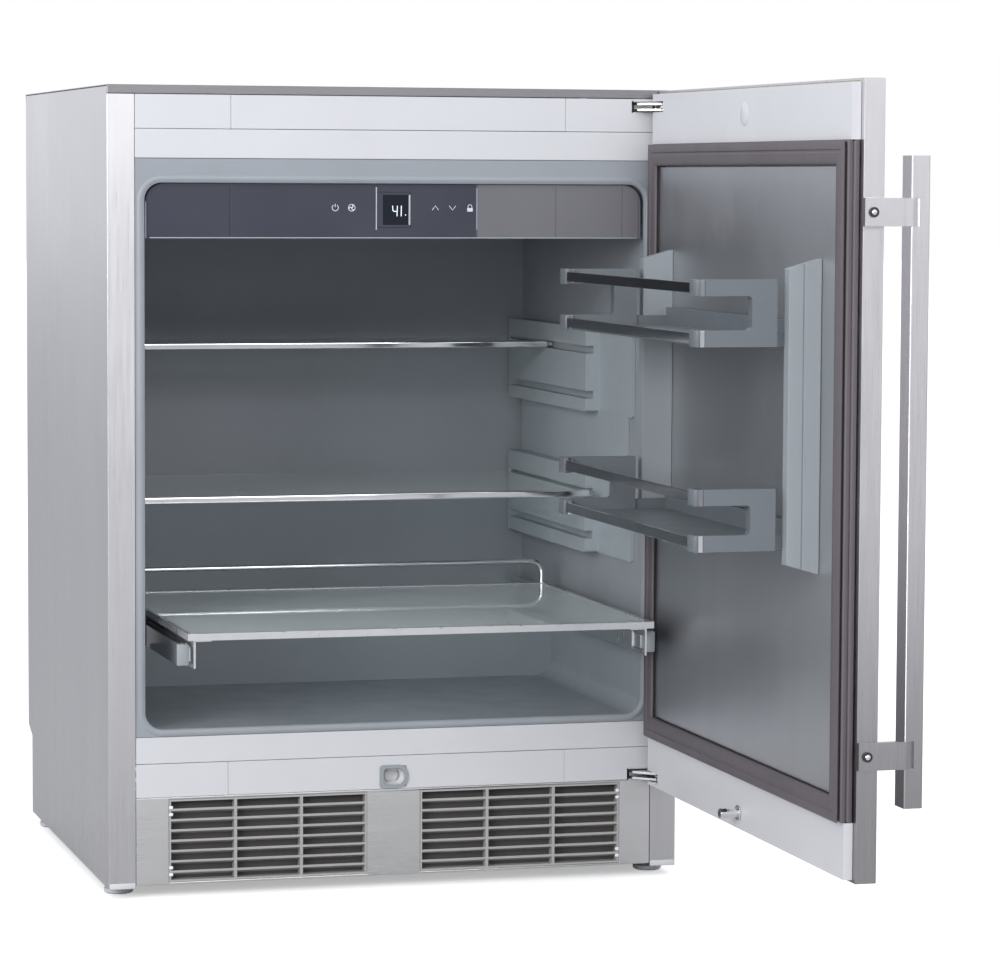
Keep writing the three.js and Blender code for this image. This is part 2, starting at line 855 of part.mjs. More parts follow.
// A glass sheet whose ends run in the wall grooves, and a metal trim along its front edge.
function shelf(name, { front, bottom }) {
  const glass = [bottom + 1.5, bottom + SHELF_THICKNESS - 1.5];
  piece(
    `${name}_glass`,
    cabinet,
    GLASS,
    block(-SHELF_HALF, SHELF_HALF, front + 4, SHELF_BACK, ...glass),
  );
  piece(
    `${name}_trim`,
    cabinet,
    CHROME,
    cut(
      slab(
        roundedRect(front, front + 12, bottom, bottom + SHELF_THICKNESS, 1.5),
        "x",
        -SHELF_BODY_HALF,
        SHELF_BODY_HALF,
        2,
      ),
      block(-260, 260, front + 4 - GAP, front + 20, glass[0] - GAP, glass[1] + GAP),
    ),
  );
}
shelf("shelf_upper", SHELF_UPPER);
shelf("shelf_lower", SHELF_LOWER);

// ---------------------------------------------------------------------------------------------
// Pull-out tray on telescopic slides
// ---------------------------------------------------------------------------------------------

const RIM = 12; // width of the tray's rim
const HANGER = { outer: 233.5, plate: 2, flange: 18, bottom: 246 }; // hung plate on each side
const HANGER_WINDOW = { length: 40, bottom: 249, top: 267 };
const SLIDE = { bottom: 247, top: 269, length: 370, front: 84 };

piece(
  "tray_glass",
  tray,
  GLASS,
  block(
    -TRAY.half + 4,
    TRAY.half - 4,
    TRAY.front + 4,
    TRAY.back - 6,
    TRAY.bottom + 1.5 + GAP,
    TRAY.top - 0.5,
  ),
);

// The tray's frame: a rim round the glass, a flanged plate hung under each side edge with the
// slide's inner rail on its outside, and a guard rail of bent wire along the back.
const rim = cut(
  block(-TRAY.half, TRAY.half, TRAY.front, TRAY.back, TRAY.bottom, TRAY.top),
  block(
    -TRAY.half + RIM,
    TRAY.half - RIM,
    TRAY.front + RIM,
    TRAY.back - RIM,
    TRAY.bottom - 2,
    TRAY.top + 2,
  ),
  block(
    -TRAY.half + 4 - GAP,
    TRAY.half - 4 + GAP,
    TRAY.front + 4 - GAP,
    TRAY.back - 6 + GAP,
    TRAY.bottom + 1.5,
    TRAY.top + 2,
  ),
);

function hanger(side) {
  const { outer, plate, flange, bottom } = HANGER;
  const front = TRAY.front + 4;
  const back = TRAY.back - 6;
  const [p0, p1] = span(side, outer, outer - plate);
  const [f0, f1] = span(side, outer, outer - flange);
  const [r0, r1] = span(side, outer - 0.5, outer + 6);
  const window = block(
    p0 - 2,
    p1 + 2,
    front + 4,
    front + 4 + HANGER_WINDOW.length,
    HANGER_WINDOW.bottom,
    HANGER_WINDOW.top,
  );
  const rail = block(
    r0,
    r1,
    SLIDE.front,
    SLIDE.front + SLIDE.length,
    SLIDE.bottom + 4,
    SLIDE.top - 4,
  );
  return join(
    cut(block(p0, p1, front, back, bottom, TRAY.bottom + 0.5), window),
    block(f0, f1, front, back, TRAY.bottom - 1.5, TRAY.bottom + 0.5),
    rail,
  );
}

const WIRE = { radius: 2.5, half: 236, y: TRAY.back - 2.7, top: 305, bend: 16 };
const wirePath = new THREE.CurvePath();
const wirePoint = (x, z) => new THREE.Vector3(x, WIRE.y, z);
wirePath.add(
  new THREE.LineCurve3(wirePoint(-WIRE.half, TRAY.bottom + 1), wirePoint(-WIRE.half, WIRE.top - WIRE.bend)),
);
wirePath.add(
  new THREE.QuadraticBezierCurve3(
    wirePoint(-WIRE.half, WIRE.top - WIRE.bend),
    wirePoint(-WIRE.half, WIRE.top),
    wirePoint(-WIRE.half + WIRE.bend, WIRE.top),
  ),
);
wirePath.add(
  new THREE.LineCurve3(
    wirePoint(-WIRE.half + WIRE.bend, WIRE.top),
    wirePoint(WIRE.half - WIRE.bend, WIRE.top),
  ),
);
wirePath.add(
  new THREE.QuadraticBezierCurve3(
    wirePoint(WIRE.half - WIRE.bend, WIRE.top),
    wirePoint(WIRE.half, WIRE.top),
    wirePoint(WIRE.half, WIRE.top - WIRE.bend),
  ),
);
wirePath.add(
  new THREE.LineCurve3(wirePoint(WIRE.half, WIRE.top - WIRE.bend), wirePoint(WIRE.half, TRAY.bottom + 1)),
);
const wire = new THREE.ExtrudeGeometry(circle(0, 0, WIRE.radius), {
  extrudePath: wirePath,
  steps: 80,
  bevelEnabled: false,
  curveSegments: 4,
});
piece("tray_frame", tray, CHROME, join(rim, hanger(-1), hanger(1), wire));

// One slide: a middle member that telescopes, and an outer member screwed to the liner.
for (const [side, sideName] of [
  [-1, "left"],
  [1, "right"],
]) {
  const [m0, m1] = span(side, 240, 246.6);
  const [n0, n1] = span(side, 239, 244.6);
  piece(
    `slide_middle_${sideName}`,
    tray,
    ALUMINIUM,
    cut(
      block(m0, m1, SLIDE.front, SLIDE.front + SLIDE.length, SLIDE.bottom, SLIDE.top),
      block(n0, n1, SLIDE.front - 2, SLIDE.front + SLIDE.length + 2, SLIDE.bottom + 2, SLIDE.top - 2),
    ),
  );
  const [p0, p1] = span(side, 247.2, 251);
  const [q0, q1] = span(side, 250, CAVITY.half - GAP);
  piece(
    `slide_outer_${sideName}`,
    cabinet,
    ALUMINIUM,
    join(
      block(p0, p1, SLIDE.front, 448, SLIDE.bottom - 3, SLIDE.top + 3),
      block(q0, q1, 100, 130, SLIDE.bottom, SLIDE.top),
      block(q0, q1, 380, 420, SLIDE.bottom, SLIDE.top),
    ),
  );
}

// ---------------------------------------------------------------------------------------------
// Machine compartment
// ---------------------------------------------------------------------------------------------

const COMPRESSOR = { x: -150, y: 380, radius: 48, bottom: 10, top: 186 };
const canProfile = [
  [0, COMPRESSOR.bottom + 12],
  [30, COMPRESSOR.bottom + 12],
  [COMPRESSOR.radius - 6, COMPRESSOR.bottom + 22],
  [COMPRESSOR.radius, COMPRESSOR.bottom + 40],
  [COMPRESSOR.radius, COMPRESSOR.top - 40],
  [COMPRESSOR.radius - 8, COMPRESSOR.top - 18],
  [24, COMPRESSOR.top],
  [0, COMPRESSOR.top],
];
const compressorFeet = [-1, 1].flatMap((sx) =>
  [-1, 1].map((sy) =>
    rod("z", COMPRESSOR.x + sx * 60, COMPRESSOR.y + sy * 40, 8, PAN.bottom + 2 + GAP, 24, 12),
  ),
);
piece(
  "compressor",
  cabinet,
  COMPRESSOR_BLACK,
  join(
    turned(canProfile, COMPRESSOR.x, COMPRESSOR.y, 24),
    block(COMPRESSOR.x - 72, COMPRESSOR.x + 72, COMPRESSOR.y - 52, COMPRESSOR.y + 52, 22, 25),
    block(COMPRESSOR.x + 40, COMPRESSOR.x + 74, COMPRESSOR.y - 22, COMPRESSOR.y + 22, 60, 110),
    ...compressorFeet,
  ),
);

// The condenser is a block of fins, cut as a comb, with header plates at the ends.
const CONDENSER = { left: 34, right: 224, front: 72, back: 112, bottom: 12, top: 126 };
const finGaps = [];
for (let x = CONDENSER.left + 8; x < CONDENSER.right - 8; x += 10) {
  finGaps.push(
    block(x, x + 6, CONDENSER.front - 2, CONDENSER.back - 6, CONDENSER.bottom + 5, CONDENSER.top - 5),
  );
}
piece(
  "condenser",
  cabinet,
  ALUMINIUM,
  cut(
    block(
      CONDENSER.left,
      CONDENSER.right,
      CONDENSER.front,
      CONDENSER.back,
      CONDENSER.bottom,
      CONDENSER.top,
    ),
    ...finGaps,
  ),
);

// The condenser fan sits behind the fins and blows across the compressor.
const FAN = { x: 129, z: 70, radius: 46, hub: 14, front: 118, back: 146, blades: 5 };
const spokes = [0, 1, 2].map((n) => {
  const spoke = block(0, FAN.radius + 6, FAN.back - 4, FAN.back, -3, 3);
  return spoke.rotateY((n * 2 * Math.PI) / 3).translate(FAN.x, 0, FAN.z);
});
piece(
  "condenser_fan_shroud",
  cabinet,
  BLACK_PLASTIC,
  join(
    cut(
      block(FAN.x - 56, FAN.x + 56, FAN.front, FAN.back, 12, 128),
      rod("y", FAN.x, FAN.z, FAN.radius + 3, FAN.front - 2, FAN.back + 2, 28),
    ),
    rod("y", FAN.x, FAN.z, 16, FAN.back - 4, FAN.back + 18, 16),
    ...spokes,
  ),
);
const fanRotor = propeller(0, 0, -8, 8, FAN.hub, FAN.radius, FAN.blades);
piece(
  "condenser_fan_rotor",
  cabinet,
  BLACK_PLASTIC,
  fanRotor.rotateX(Math.PI / 2).translate(FAN.x, FAN.front + 13, FAN.z),
);

// ---------------------------------------------------------------------------------------------
// Hinges: a forked bracket with a pin on the cabinet, and a leaf on the door between its arms
// ---------------------------------------------------------------------------------------------

const HINGE_ARM = { lower: [-4.1, -1.9], upper: [1.9, 4.1] }; // arm heights about the pivot height
const LEAF_HALF = 1.4;
const PIN_RADIUS = 2.6;
const PIN_PLAY = 0.1;
const KNUCKLE = 7;
const HINGE_LEAF_FRONT = -35.5;

const armOutline = new THREE.Shape();
armOutline.moveTo(251, 15);
armOutline.lineTo(251, -6);
armOutline.lineTo(HINGE.x - KNUCKLE, HINGE.y - 4);
armOutline.absarc(HINGE.x, HINGE.y, KNUCKLE, 1.2 * Math.PI, 2.2 * Math.PI);
armOutline.lineTo(270.5, -3);
armOutline.lineTo(270.5, 15);
armOutline.closePath();

const leafOutline = new THREE.Shape();
leafOutline.absarc(HINGE.x, HINGE.y, KNUCKLE - 0.5, 0, Math.PI);
leafOutline.lineTo(HINGE.x - KNUCKLE + 0.5, HINGE_LEAF_FRONT);
leafOutline.lineTo(HINGE.x + KNUCKLE - 0.5, HINGE_LEAF_FRONT);
leafOutline.closePath();

function hinge(name, height) {
  const arms = Object.values(HINGE_ARM).map(([low, high]) =>
    slab(armOutline, "z", height + low, height + high),
  );
  const web = block(251, 270.5, 5, 15, height - 4, height + 4);
  const pin = rod("z", HINGE.x, HINGE.y, PIN_RADIUS, height - 4.6, height + 4.6);
  piece(`hinge_bracket_${name}`, cabinet, CHROME, join(...arms, web, pin));
  piece(
    `hinge_leaf_${name}`,
    door,
    CHROME,
    cut(
      slab(leafOutline, "z", height - LEAF_HALF, height + LEAF_HALF, 8),
      rod("z", HINGE.x, HINGE.y, PIN_RADIUS + PIN_PLAY, height - 4, height + 4),
    ),
  );
}
hinge("lower", PIVOT_HEIGHTS.lower);
hinge("upper", PIVOT_HEIGHTS.upper);

// Room in the door for the bracket's arms, from behind the inner face to the hinge edge.
const hingePocket = (height) => block(253, 300, -31, -5, height - 5.5, height + 5.5);
const pockets = Object.values(PIVOT_HEIGHTS).map(hingePocket);

// ---------------------------------------------------------------------------------------------
// Door shell
// ---------------------------------------------------------------------------------------------

const shellBack = DOOR.shellBack;
piece(
  "door_skin",
  door,
  STAINLESS,
  cut(
    block(DOOR.left, DOOR.right, DOOR.front, shellBack, DOOR.bottom, DOOR.top),
    block(
      DOOR.left + DOOR_SHEET,
      DOOR.right - DOOR_SHEET,
      DOOR.front + DOOR_SHEET,
      shellBack - DOOR_SHEET,
      DOOR.bottom + DOOR_SHEET,
      DOOR.top - DOOR_SHEET,
    ),
    block(
      DOOR.left + DOOR_RETURN,
      DOOR.right - DOOR_RETURN,
      shellBack - DOOR_SHEET - 2,
      shellBack + 2,
      DOOR.bottom + 2 * DOOR_SHEET,
      DOOR.top - 2 * DOOR_SHEET,
    ),
    ...pockets,
  ),
);

const leafSlots = Object.values(PIVOT_HEIGHTS).map((height) =>
  block(
    HINGE.x - KNUCKLE,
    HINGE.x + KNUCKLE,
    HINGE_LEAF_FRONT - GAP,
    HINGE.y,
    height - LEAF_HALF - GAP,
    height + LEAF_HALF + GAP,
  ),
);
piece(
  "door_core",
  door,
  FOAM,
  cut(
    block(
      DOOR.left + DOOR_SHEET + GAP,
      DOOR.right - DOOR_SHEET - GAP,
      DOOR.front + DOOR_SHEET + GAP,
      shellBack - DOOR_SHEET - GAP,
      DOOR.bottom + DOOR_SHEET + GAP,
      DOOR.top - DOOR_SHEET - GAP,
    ),
    ...pockets,
    ...leafSlots,
  ),
);

// The inner frame is a plate on the back of the shell that rises to a pale cap above and below
// the seal. Its sides stand in from the shell's sides.
const SEAL_SEAT = -14.5; // the plate's face, which the seal stands on
const CAP_LEFT = DOOR.left + DOOR_LEDGE;
const CAP_RIGHT = DOOR.right - DOOR_LEDGE;
const PLATE_INSET = 5; // how far the plate hides behind the seal's outer side
const sealZone = block(
  CAP_LEFT - 2,
  CAP_RIGHT + 2,
  SEAL_SEAT,
  DOOR.back + 2,
  GASKET.bottom - GAP,
  GASKET.top + GAP,
);
const plateEdges = [
  block(
    CAP_LEFT - 2,
    GASKET.left + PLATE_INSET,
    shellBack,
    DOOR.back + 2,
    GASKET.bottom - GAP,
    GASKET.top + GAP,
  ),
  block(
    GASKET.right - PLATE_INSET,
    CAP_RIGHT + 2,
    shellBack,
    DOOR.back + 2,
    GASKET.bottom - GAP,
    GASKET.top + GAP,
  ),
];
piece(
  "door_inner_frame",
  door,
  PALE_PLASTIC,
  cut(
    block(CAP_LEFT, CAP_RIGHT, shellBack + GAP, DOOR.back, DOOR.bottom + 3, DOOR.top - 3.5),
    sealZone,
    ...plateEdges,
    ...pockets,
  ),
);

// The inner panel is a shallow pan turned over, inside the seal.
const PANEL_WALL = 1.7;
const panelBlock = (inset, front, back) =>
  block(
    GASKET.left + GASKET.width + inset,
    GASKET.right - GASKET.width - inset,
    front,
    back,
    GASKET.bottom + GASKET.width + inset,
    GASKET.top - GASKET.width - inset,
  );
piece(
  "door_inner_panel",
  door,
  LINER_GREY,
  cut(
    panelBlock(GAP, SEAL_SEAT + GAP, PANEL_FACE),
    panelBlock(GAP + PANEL_WALL, SEAL_SEAT - 2, PANEL_FACE - PANEL_WALL),
  ),
);

// The seal: an inner flap and an outer bellows with a deep groove between them.
const ringBlock = (inset, front, back) =>
  block(
    GASKET.left + inset,
    GASKET.right - inset,
    front,
    back,
    GASKET.bottom + inset,
    GASKET.top - inset,
  );
const ring = (outer, inner, front, back) =>
  cut(ringBlock(outer, front, back), ringBlock(inner, front - 2, back + 2));
piece(
  "door_gasket",
  door,
  GASKET_TAUPE,
  cut(
    ring(0, GASKET.width, SEAL_SEAT + GAP, GASKET.back),
    ring(-2, 2.5, SEAL_SEAT + 9, SEAL_SEAT + 11),
    ring(GASKET.width - 3, GASKET.width + 2, PANEL_FACE - 1.5, PANEL_FACE + 1),
  ),
);

// ---------------------------------------------------------------------------------------------
// Racks in the door, between two moulded uprights
// ---------------------------------------------------------------------------------------------

function rackUpright(side) {
  const { reach, bottom, top, chamfer } = UPRIGHT;
  const base = PANEL_FACE + GAP;
  const profile = outline([
    [base, bottom],
    [reach, bottom + chamfer],
    [reach, top - chamfer],
    [base, top],
  ]);
  const body = slab(profile, "x", ...span(side, UPRIGHT.inner, UPRIGHT.outer));
  const [c0, c1] = span(side, UPRIGHT.outer - 0.6, UPRIGHT.outer + 2);
  const crease = block(c0, c1, reach / 2 - 3.5, reach / 2 - 1.5, bottom - 1, top + 1);
  const [t0, t1] = span(side, UPRIGHT.inner - 5, UPRIGHT.inner + 2);
  const stubs = [RACK_LOWER, RACK_UPPER].map(({ bottom: z }) => block(t0, t1, 4, 22, z - 7, z - GAP));
  return join(cut(body, crease), ...stubs);
}
piece("rack_upright_free_side", door, RACK_GREY, rackUpright(-1));
piece("rack_upright_hinge_side", door, RACK_GREY, rackUpright(1));

// A rack: a plastic frame with a floor, a low wall round it and an arm at each end. An arm forks
// into two prongs at its front, and a flat bar runs across from prong to prong at each height.
const ARM = { outer: RACK_HALF, inner: RACK_HALF - 12, root: 33.5, forkDepth: 45 };
const PRONG = 15;
const BAR = { height: 9.5, thickness: 3, clipWidth: 20, clipDepth: 8 };

function rack(name, { bottom, top }) {
  const armTip = RACK_REACH - BAR.clipDepth - GAP;
  const arms = [-1, 1].map((side) => {
    const [x0, x1] = span(side, ARM.inner, ARM.outer);
    const fork = roundedRect(
      armTip - ARM.forkDepth,
      armTip + 20,
      bottom + PRONG,
      top - PRONG,
      4,
    );
    return cut(block(x0, x1, ARM.root, armTip, bottom, top), slab(fork, "x", x0 - 2, x1 + 2, 3));
  });
  const side = UPRIGHT.inner - GAP;
  const back = PANEL_FACE + 4;
  const front = armTip - 2;
  const floor = block(-side, side, back, front, bottom, bottom + 4);
  const backEdge = block(-side, side, back, back + 3, bottom, bottom + 22);
  const cheeks = [-1, 1].map((s) =>
    block(...span(s, side - 3, side), back, front, bottom, bottom + PRONG - 1),
  );
  piece(`${name}_frame`, door, RACK_GREY, join(floor, backEdge, ...cheeks, ...arms));

  // A bar is a strip on edge, with a thicker and taller clip on each end against the prong's tip.
  const bar = (middle) => {
    const strip = block(
      -RACK_HALF + 1,
      RACK_HALF - 1,
      RACK_REACH - 0.5 - BAR.thickness,
      RACK_REACH - 0.5,
      middle - BAR.height / 2,
      middle + BAR.height / 2,
    );
    const clips = [-1, 1].map((s) =>
      block(
        ...span(s, RACK_HALF - BAR.clipWidth, RACK_HALF),
        RACK_REACH - BAR.clipDepth,
        RACK_REACH,
        middle - PRONG / 2,
        middle + PRONG / 2,
      ),
    );
    return join(strip, ...clips);
  };
  piece(`${name}_bar_top`, door, CHROME, bar(top - PRONG / 2));
  piece(`${name}_bar_bottom`, door, CHROME, bar(bottom + PRONG / 2));
}
rack("rack_upper", RACK_UPPER);
rack("rack_lower", RACK_LOWER);

// ---------------------------------------------------------------------------------------------
// Handle, catch pin
// ---------------------------------------------------------------------------------------------

const HANDLE = { left: -305, right: -281.5, front: -78, back: -60, bottom: 164, top: 750.4 };
const BRACKET = { left: -306, right: -298.3, front: -69, back: -16, halfHeight: 12.6, chamfer: 3 };
const BRACKET_HEIGHTS = [212.5, 700];
const BRACKET_SCREW = { y: -24, radius: 4 };

const handleBar = slab(
  roundedRect(HANDLE.left, HANDLE.right, HANDLE.front, HANDLE.back, 1.5),
  "z",
  HANDLE.bottom,
  HANDLE.top,
  2,
);
// A bracket is a flat plate, bevelled where it is let into the bar and welded.
const bracketOutline = outline([
  [BRACKET.right, BRACKET.front],
  [BRACKET.right, BRACKET.back],
  [BRACKET.left, BRACKET.back],
  [BRACKET.left, HANDLE.back - 1.5],
  [BRACKET.left + BRACKET.chamfer, BRACKET.front],
].reverse());
const brackets = BRACKET_HEIGHTS.flatMap((z) => [
  slab(bracketOutline, "z", z - BRACKET.halfHeight, z + BRACKET.halfHeight),
  rod("x", BRACKET_SCREW.y, z, BRACKET_SCREW.radius, BRACKET.left - 1.2, BRACKET.left + 1, 16),
]);
const lettingIn = BRACKET_HEIGHTS.map((z) =>
  block(
    HANDLE.left - 2,
    HANDLE.left + BRACKET.chamfer,
    BRACKET.front,
    HANDLE.back + 2,
    z - BRACKET.halfHeight,
    z + BRACKET.halfHeight,
  ),
);
piece("handle", door, STAINLESS, join(cut(handleBar, ...lettingIn), ...brackets));

piece(
  "catch_pin",
  door,
  CHROME,
  join(
    rod("y", CATCH.x, CATCH.z, CATCH.pinRadius - 1, DOOR.back + GAP, 12),
    rod("y", CATCH.x, CATCH.z, CATCH.pinRadius, 5, 12),
    rod("y", CATCH.x, CATCH.z, CATCH.pinRadius + 2.5, DOOR.back + GAP, DOOR.back + 2),
  ),
);

export default fridge;
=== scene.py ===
# An undercounter refrigerator with its door open, as it looks: materials, small fittings, light
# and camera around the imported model. Metres; +X right, +Y back, +Z up, origin on the floor.

import json
import math

import bmesh
import bpy
from mathutils import Matrix, Vector


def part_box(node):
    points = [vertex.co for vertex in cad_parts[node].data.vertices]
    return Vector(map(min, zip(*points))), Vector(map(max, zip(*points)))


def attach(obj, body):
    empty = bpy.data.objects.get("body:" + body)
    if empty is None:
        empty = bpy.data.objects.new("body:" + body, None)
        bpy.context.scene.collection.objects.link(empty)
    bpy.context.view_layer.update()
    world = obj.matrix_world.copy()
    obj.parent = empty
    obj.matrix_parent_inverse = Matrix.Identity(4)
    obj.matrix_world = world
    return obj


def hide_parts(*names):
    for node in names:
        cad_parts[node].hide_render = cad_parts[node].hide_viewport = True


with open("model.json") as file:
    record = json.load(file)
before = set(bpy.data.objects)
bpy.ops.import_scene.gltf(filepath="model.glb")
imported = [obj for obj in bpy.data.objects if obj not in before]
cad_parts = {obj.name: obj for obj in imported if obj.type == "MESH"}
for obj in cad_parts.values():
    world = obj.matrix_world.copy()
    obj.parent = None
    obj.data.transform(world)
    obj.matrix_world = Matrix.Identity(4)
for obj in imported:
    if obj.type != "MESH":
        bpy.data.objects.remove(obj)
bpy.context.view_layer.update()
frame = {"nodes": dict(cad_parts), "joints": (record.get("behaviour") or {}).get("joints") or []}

MM = 0.001

# ----------------------------------------------------------------------------------------------
# Places taken from the frame
# ----------------------------------------------------------------------------------------------

CABINET_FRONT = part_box("side_panel_left")[0].y
DOOR_JOINT = next(joint for joint in frame["joints"] if joint["name"] == "door_hinge")
HINGE_POINT = Vector(DOOR_JOINT["pos_m"])

# Pieces are laid out in mm: x to the right of the cabinet's middle, y behind its front plane and
# z above the floor. Those of the door are laid out shut, and then turned to where it stands open.
# Those of the tray have y behind the tray's own front edge.
IN_CABINET = Matrix.Translation((0, CABINET_FRONT, 0)) @ Matrix.Scale(MM, 4)
IN_DOOR = (
    Matrix.Translation(HINGE_POINT)
    @ Matrix.Rotation(math.radians(90), 4, "Z")
    @ Matrix.Translation(-HINGE_POINT)
    @ IN_CABINET
)
IN_TRAY = Matrix.Translation((0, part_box("tray_frame")[0].y, 0)) @ Matrix.Scale(MM, 4)


def box_in(node, place):
    """A node's lowest and highest corners in the mm of its place."""
    back = place.inverted()
    a, b = (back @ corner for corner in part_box(node))
    return Vector(map(min, a, b)), Vector(map(max, a, b))


# ----------------------------------------------------------------------------------------------
# Materials
# ----------------------------------------------------------------------------------------------


class Look:
    """A node material, put together by short calls."""

    def __init__(self, name):
        self.material = bpy.data.materials.new(name)
        self.material.use_nodes = True
        self.tree = self.material.node_tree
        self.surface = self.tree.nodes["Principled BSDF"]
        self.place = self.tree.nodes.new("ShaderNodeTexCoord").outputs["Object"]

    def set(self, **values):
        for name, value in values.items():
            self.surface.inputs[name.replace("_", " ")].default_value = value

    def drive(self, name, socket):
        self.tree.links.new(socket, self.surface.inputs[name])

    def node(self, kind, inputs=None, **settings):
        made = self.tree.nodes.new(kind)
        for name, value in settings.items():
            setattr(made, name, value)
        for name, value in (inputs or {}).items():
            if isinstance(value, bpy.types.NodeSocket):
                self.tree.links.new(value, made.inputs[name])
            else:
                made.inputs[name].default_value = value
        return made

    def noise(self, stretch, detail=3.0, roughness=0.55):
        """Noise with its own scale along each axis, in waves to the metre."""
        placed = self.node("ShaderNodeMapping", {"Vector": self.place, "Scale": stretch})
        noise = self.node(
            "ShaderNodeTexNoise",
            {"Vector": placed.outputs[0], "Scale": 1.0, "Detail": detail, "Roughness": roughness},
        )
        return noise.outputs[0]

    def spread(self, socket, low, high):
        """The middle of a noise's range, stretched to run from low to high."""
        mapped = self.node(
            "ShaderNodeMapRange",
            {"Value": socket, "From Min": 0.3, "From Max": 0.7, "To Min": low, "To Max": high},
        )
        return mapped.outputs[0]

    def step(self, socket, start, end, low, high):
        """Runs softly from low to high as a distance in metres goes from start to end."""
        mapped = self.node(
            "ShaderNodeMapRange",
            {"Value": socket, "From Min": start, "From Max": end, "To Min": low, "To Max": high},
            interpolation_type="SMOOTHSTEP",
        )
        return mapped.outputs[0]

    def tint(self, socket, dark, light):
        mixed = self.node("ShaderNodeMix", data_type="RGBA")
        self.tree.links.new(socket, mixed.inputs["Factor"])
        mixed.inputs["A"].default_value = (*dark, 1)
        mixed.inputs["B"].default_value = (*light, 1)
        self.tree.links.new(mixed.outputs["Result"], self.surface.inputs["Base Color"])

    def bump(self, socket, strength, distance):
        bump = self.node(
            "ShaderNodeBump", {"Height": socket, "Strength": strength, "Distance": distance}
        )
        self.drive("Normal", bump.outputs[0])


def shade(colour, factor):
    return tuple(channel * factor for channel in colour)


def brushed(name, colour, along, roughness=0.3, contrast=0.04, hair=1100.0, painted_shading=None):
    """Sheet metal brushed along one axis: hairlines, slow bands of tone, faint handling marks.

    The painted shading argument is (height, height, tone at the lower, tone at the upper): painted
    shade low down and painted light high up, for the steel's reflection that darkens towards the
    floor.
    Heights are in metres and a tone is a factor on the colour.
    """
    look = Look(name)
    stretch = [hair] * 3
    stretch["xyz".index(along)] = hair / 90
    bands = [34.0] * 3
    bands["xyz".index(along)] = 1.3
    hairs = look.noise(stretch, 2.0, 0.6)
    tone = look.noise(bands, 3.0)
    blend = look.node("ShaderNodeMath", {0: hairs, 1: tone}, operation="ADD")
    half = look.node("ShaderNodeMath", {0: blend.outputs[0], 1: 0.5}, operation="MULTIPLY")
    streaks = look.spread(half.outputs[0], 0.5 - contrast, 0.5 + contrast)
    # Painted light: the colour is darkened low down and brightened high up, as the reflection in the
    # steel is.
    if painted_shading:
        low, high, shaded_tone, lit_tone = painted_shading
        height = look.node("ShaderNodeSeparateXYZ", {"Vector": look.place}).outputs["Z"]
        ramp = look.step(height, low, high, shaded_tone - 1, lit_tone - 1)
        shaded_streaks = look.node("ShaderNodeMath", {0: streaks, 1: ramp}, operation="ADD")
        streaks = shaded_streaks.outputs[0]
    look.tint(streaks, shade(colour, 0.5), shade(colour, 1.5))
    marks = look.noise([5.0, 5.0, 5.0], 4.0)
    rough = look.node("ShaderNodeMath", {0: look.spread(hairs, -0.05, 0.05)}, operation="ADD")
    look.tree.links.new(look.spread(marks, roughness - 0.03, roughness + 0.05), rough.inputs[1])
    look.drive("Roughness", rough.outputs[0])
    look.set(Metallic=1.0)
    look.bump(hairs, 0.25, 0.00004)
    return look.material


def polished(name, colour, roughness=0.1):
    """Bright plated metal, not quite even."""
    look = Look(name)
    cloud = look.noise([60.0, 60.0, 60.0], 3.0)
    look.tint(look.spread(cloud, 0.0, 1.0), shade(colour, 0.94), colour)
    look.drive("Roughness", look.spread(look.noise([90.0] * 3), roughness * 0.85, roughness * 1.2))
    look.set(Metallic=1.0)
    return look.material


def moulded(name, colour, roughness=0.4, grain=2200.0, relief=0.1, vary=0.05, metallic=0.0, coat=0.0):
    """Moulded plastic: fine spark grain, slow variation of tone and gloss."""
    look = Look(name)
    cloud = look.noise([9.0, 9.0, 9.0], 4.0)
    look.tint(look.spread(cloud, 0.0, 1.0), shade(colour, 1 - vary), shade(colour, 1 + vary))
    look.drive("Roughness", look.spread(look.noise([25.0] * 3), roughness - 0.05, roughness + 0.06))
    look.set(Metallic=metallic, Coat_Weight=coat, Coat_Roughness=0.05)
    look.bump(look.noise([grain] * 3, 2.0), relief, 0.00005)
    return look.material


def pane(name, tint, roughness=0.02, clear=1.0):
    """Sheet glass that lets the lamps through to what is behind it. Below 1, clear makes it milky."""
    look = Look(name)
    smear = look.noise([14.0, 14.0, 14.0], 5.0)
    look.tint(look.spread(smear, 0.0, 1.0), shade(tint, 0.97), tint)
    look.drive("Roughness", look.spread(smear, roughness, roughness + 0.03))
    look.set(Transmission_Weight=clear, IOR=1.48)
    rays = look.node("ShaderNodeLightPath")
    through = look.node("ShaderNodeBsdfTransparent", {"Color": (*shade(tint, 0.95), 1)})
    mix = look.node("ShaderNodeMixShader")
    look.tree.links.new(rays.outputs["Is Shadow Ray"], mix.inputs[0])
    look.tree.links.new(look.surface.outputs[0], mix.inputs[1])
    look.tree.links.new(through.outputs[0], mix.inputs[2])
    output = next(n for n in look.tree.nodes if n.type == "OUTPUT_MATERIAL")
    look.tree.links.new(mix.outputs[0], output.inputs["Surface"])
    return look.material


# The paler part of the control fascia is a painted reflection of the open door.
PALE_FROM = 83.0  # x in mm where the paler part of the control fascia begins


def slate(name, dark, light):
    """The control fascia's back-printed glass: darker at the left, and paler past the touch keys,
    where a reflection of the open door is painted into its colour.
    """
    look = Look(name)
    across = look.node("ShaderNodeSeparateXYZ", {"Vector": look.place}).outputs["X"]
    painted_reflection = look.step(across, PALE_FROM * MM - 0.002, PALE_FROM * MM + 0.002, 0.0, 0.9)
    cloud = look.spread(look.noise([7.0, 7.0, 7.0], 3.0), 0.0, 0.1)
    blend = look.node("ShaderNodeMath", {0: painted_reflection, 1: cloud}, operation="ADD")
    look.tint(blend.outputs[0], dark, light)
    look.drive("Roughness", look.spread(look.noise([30.0, 30.0, 30.0]), 0.1, 0.16))
    look.set(Specular_IOR_Level=0.18)
    return look.material


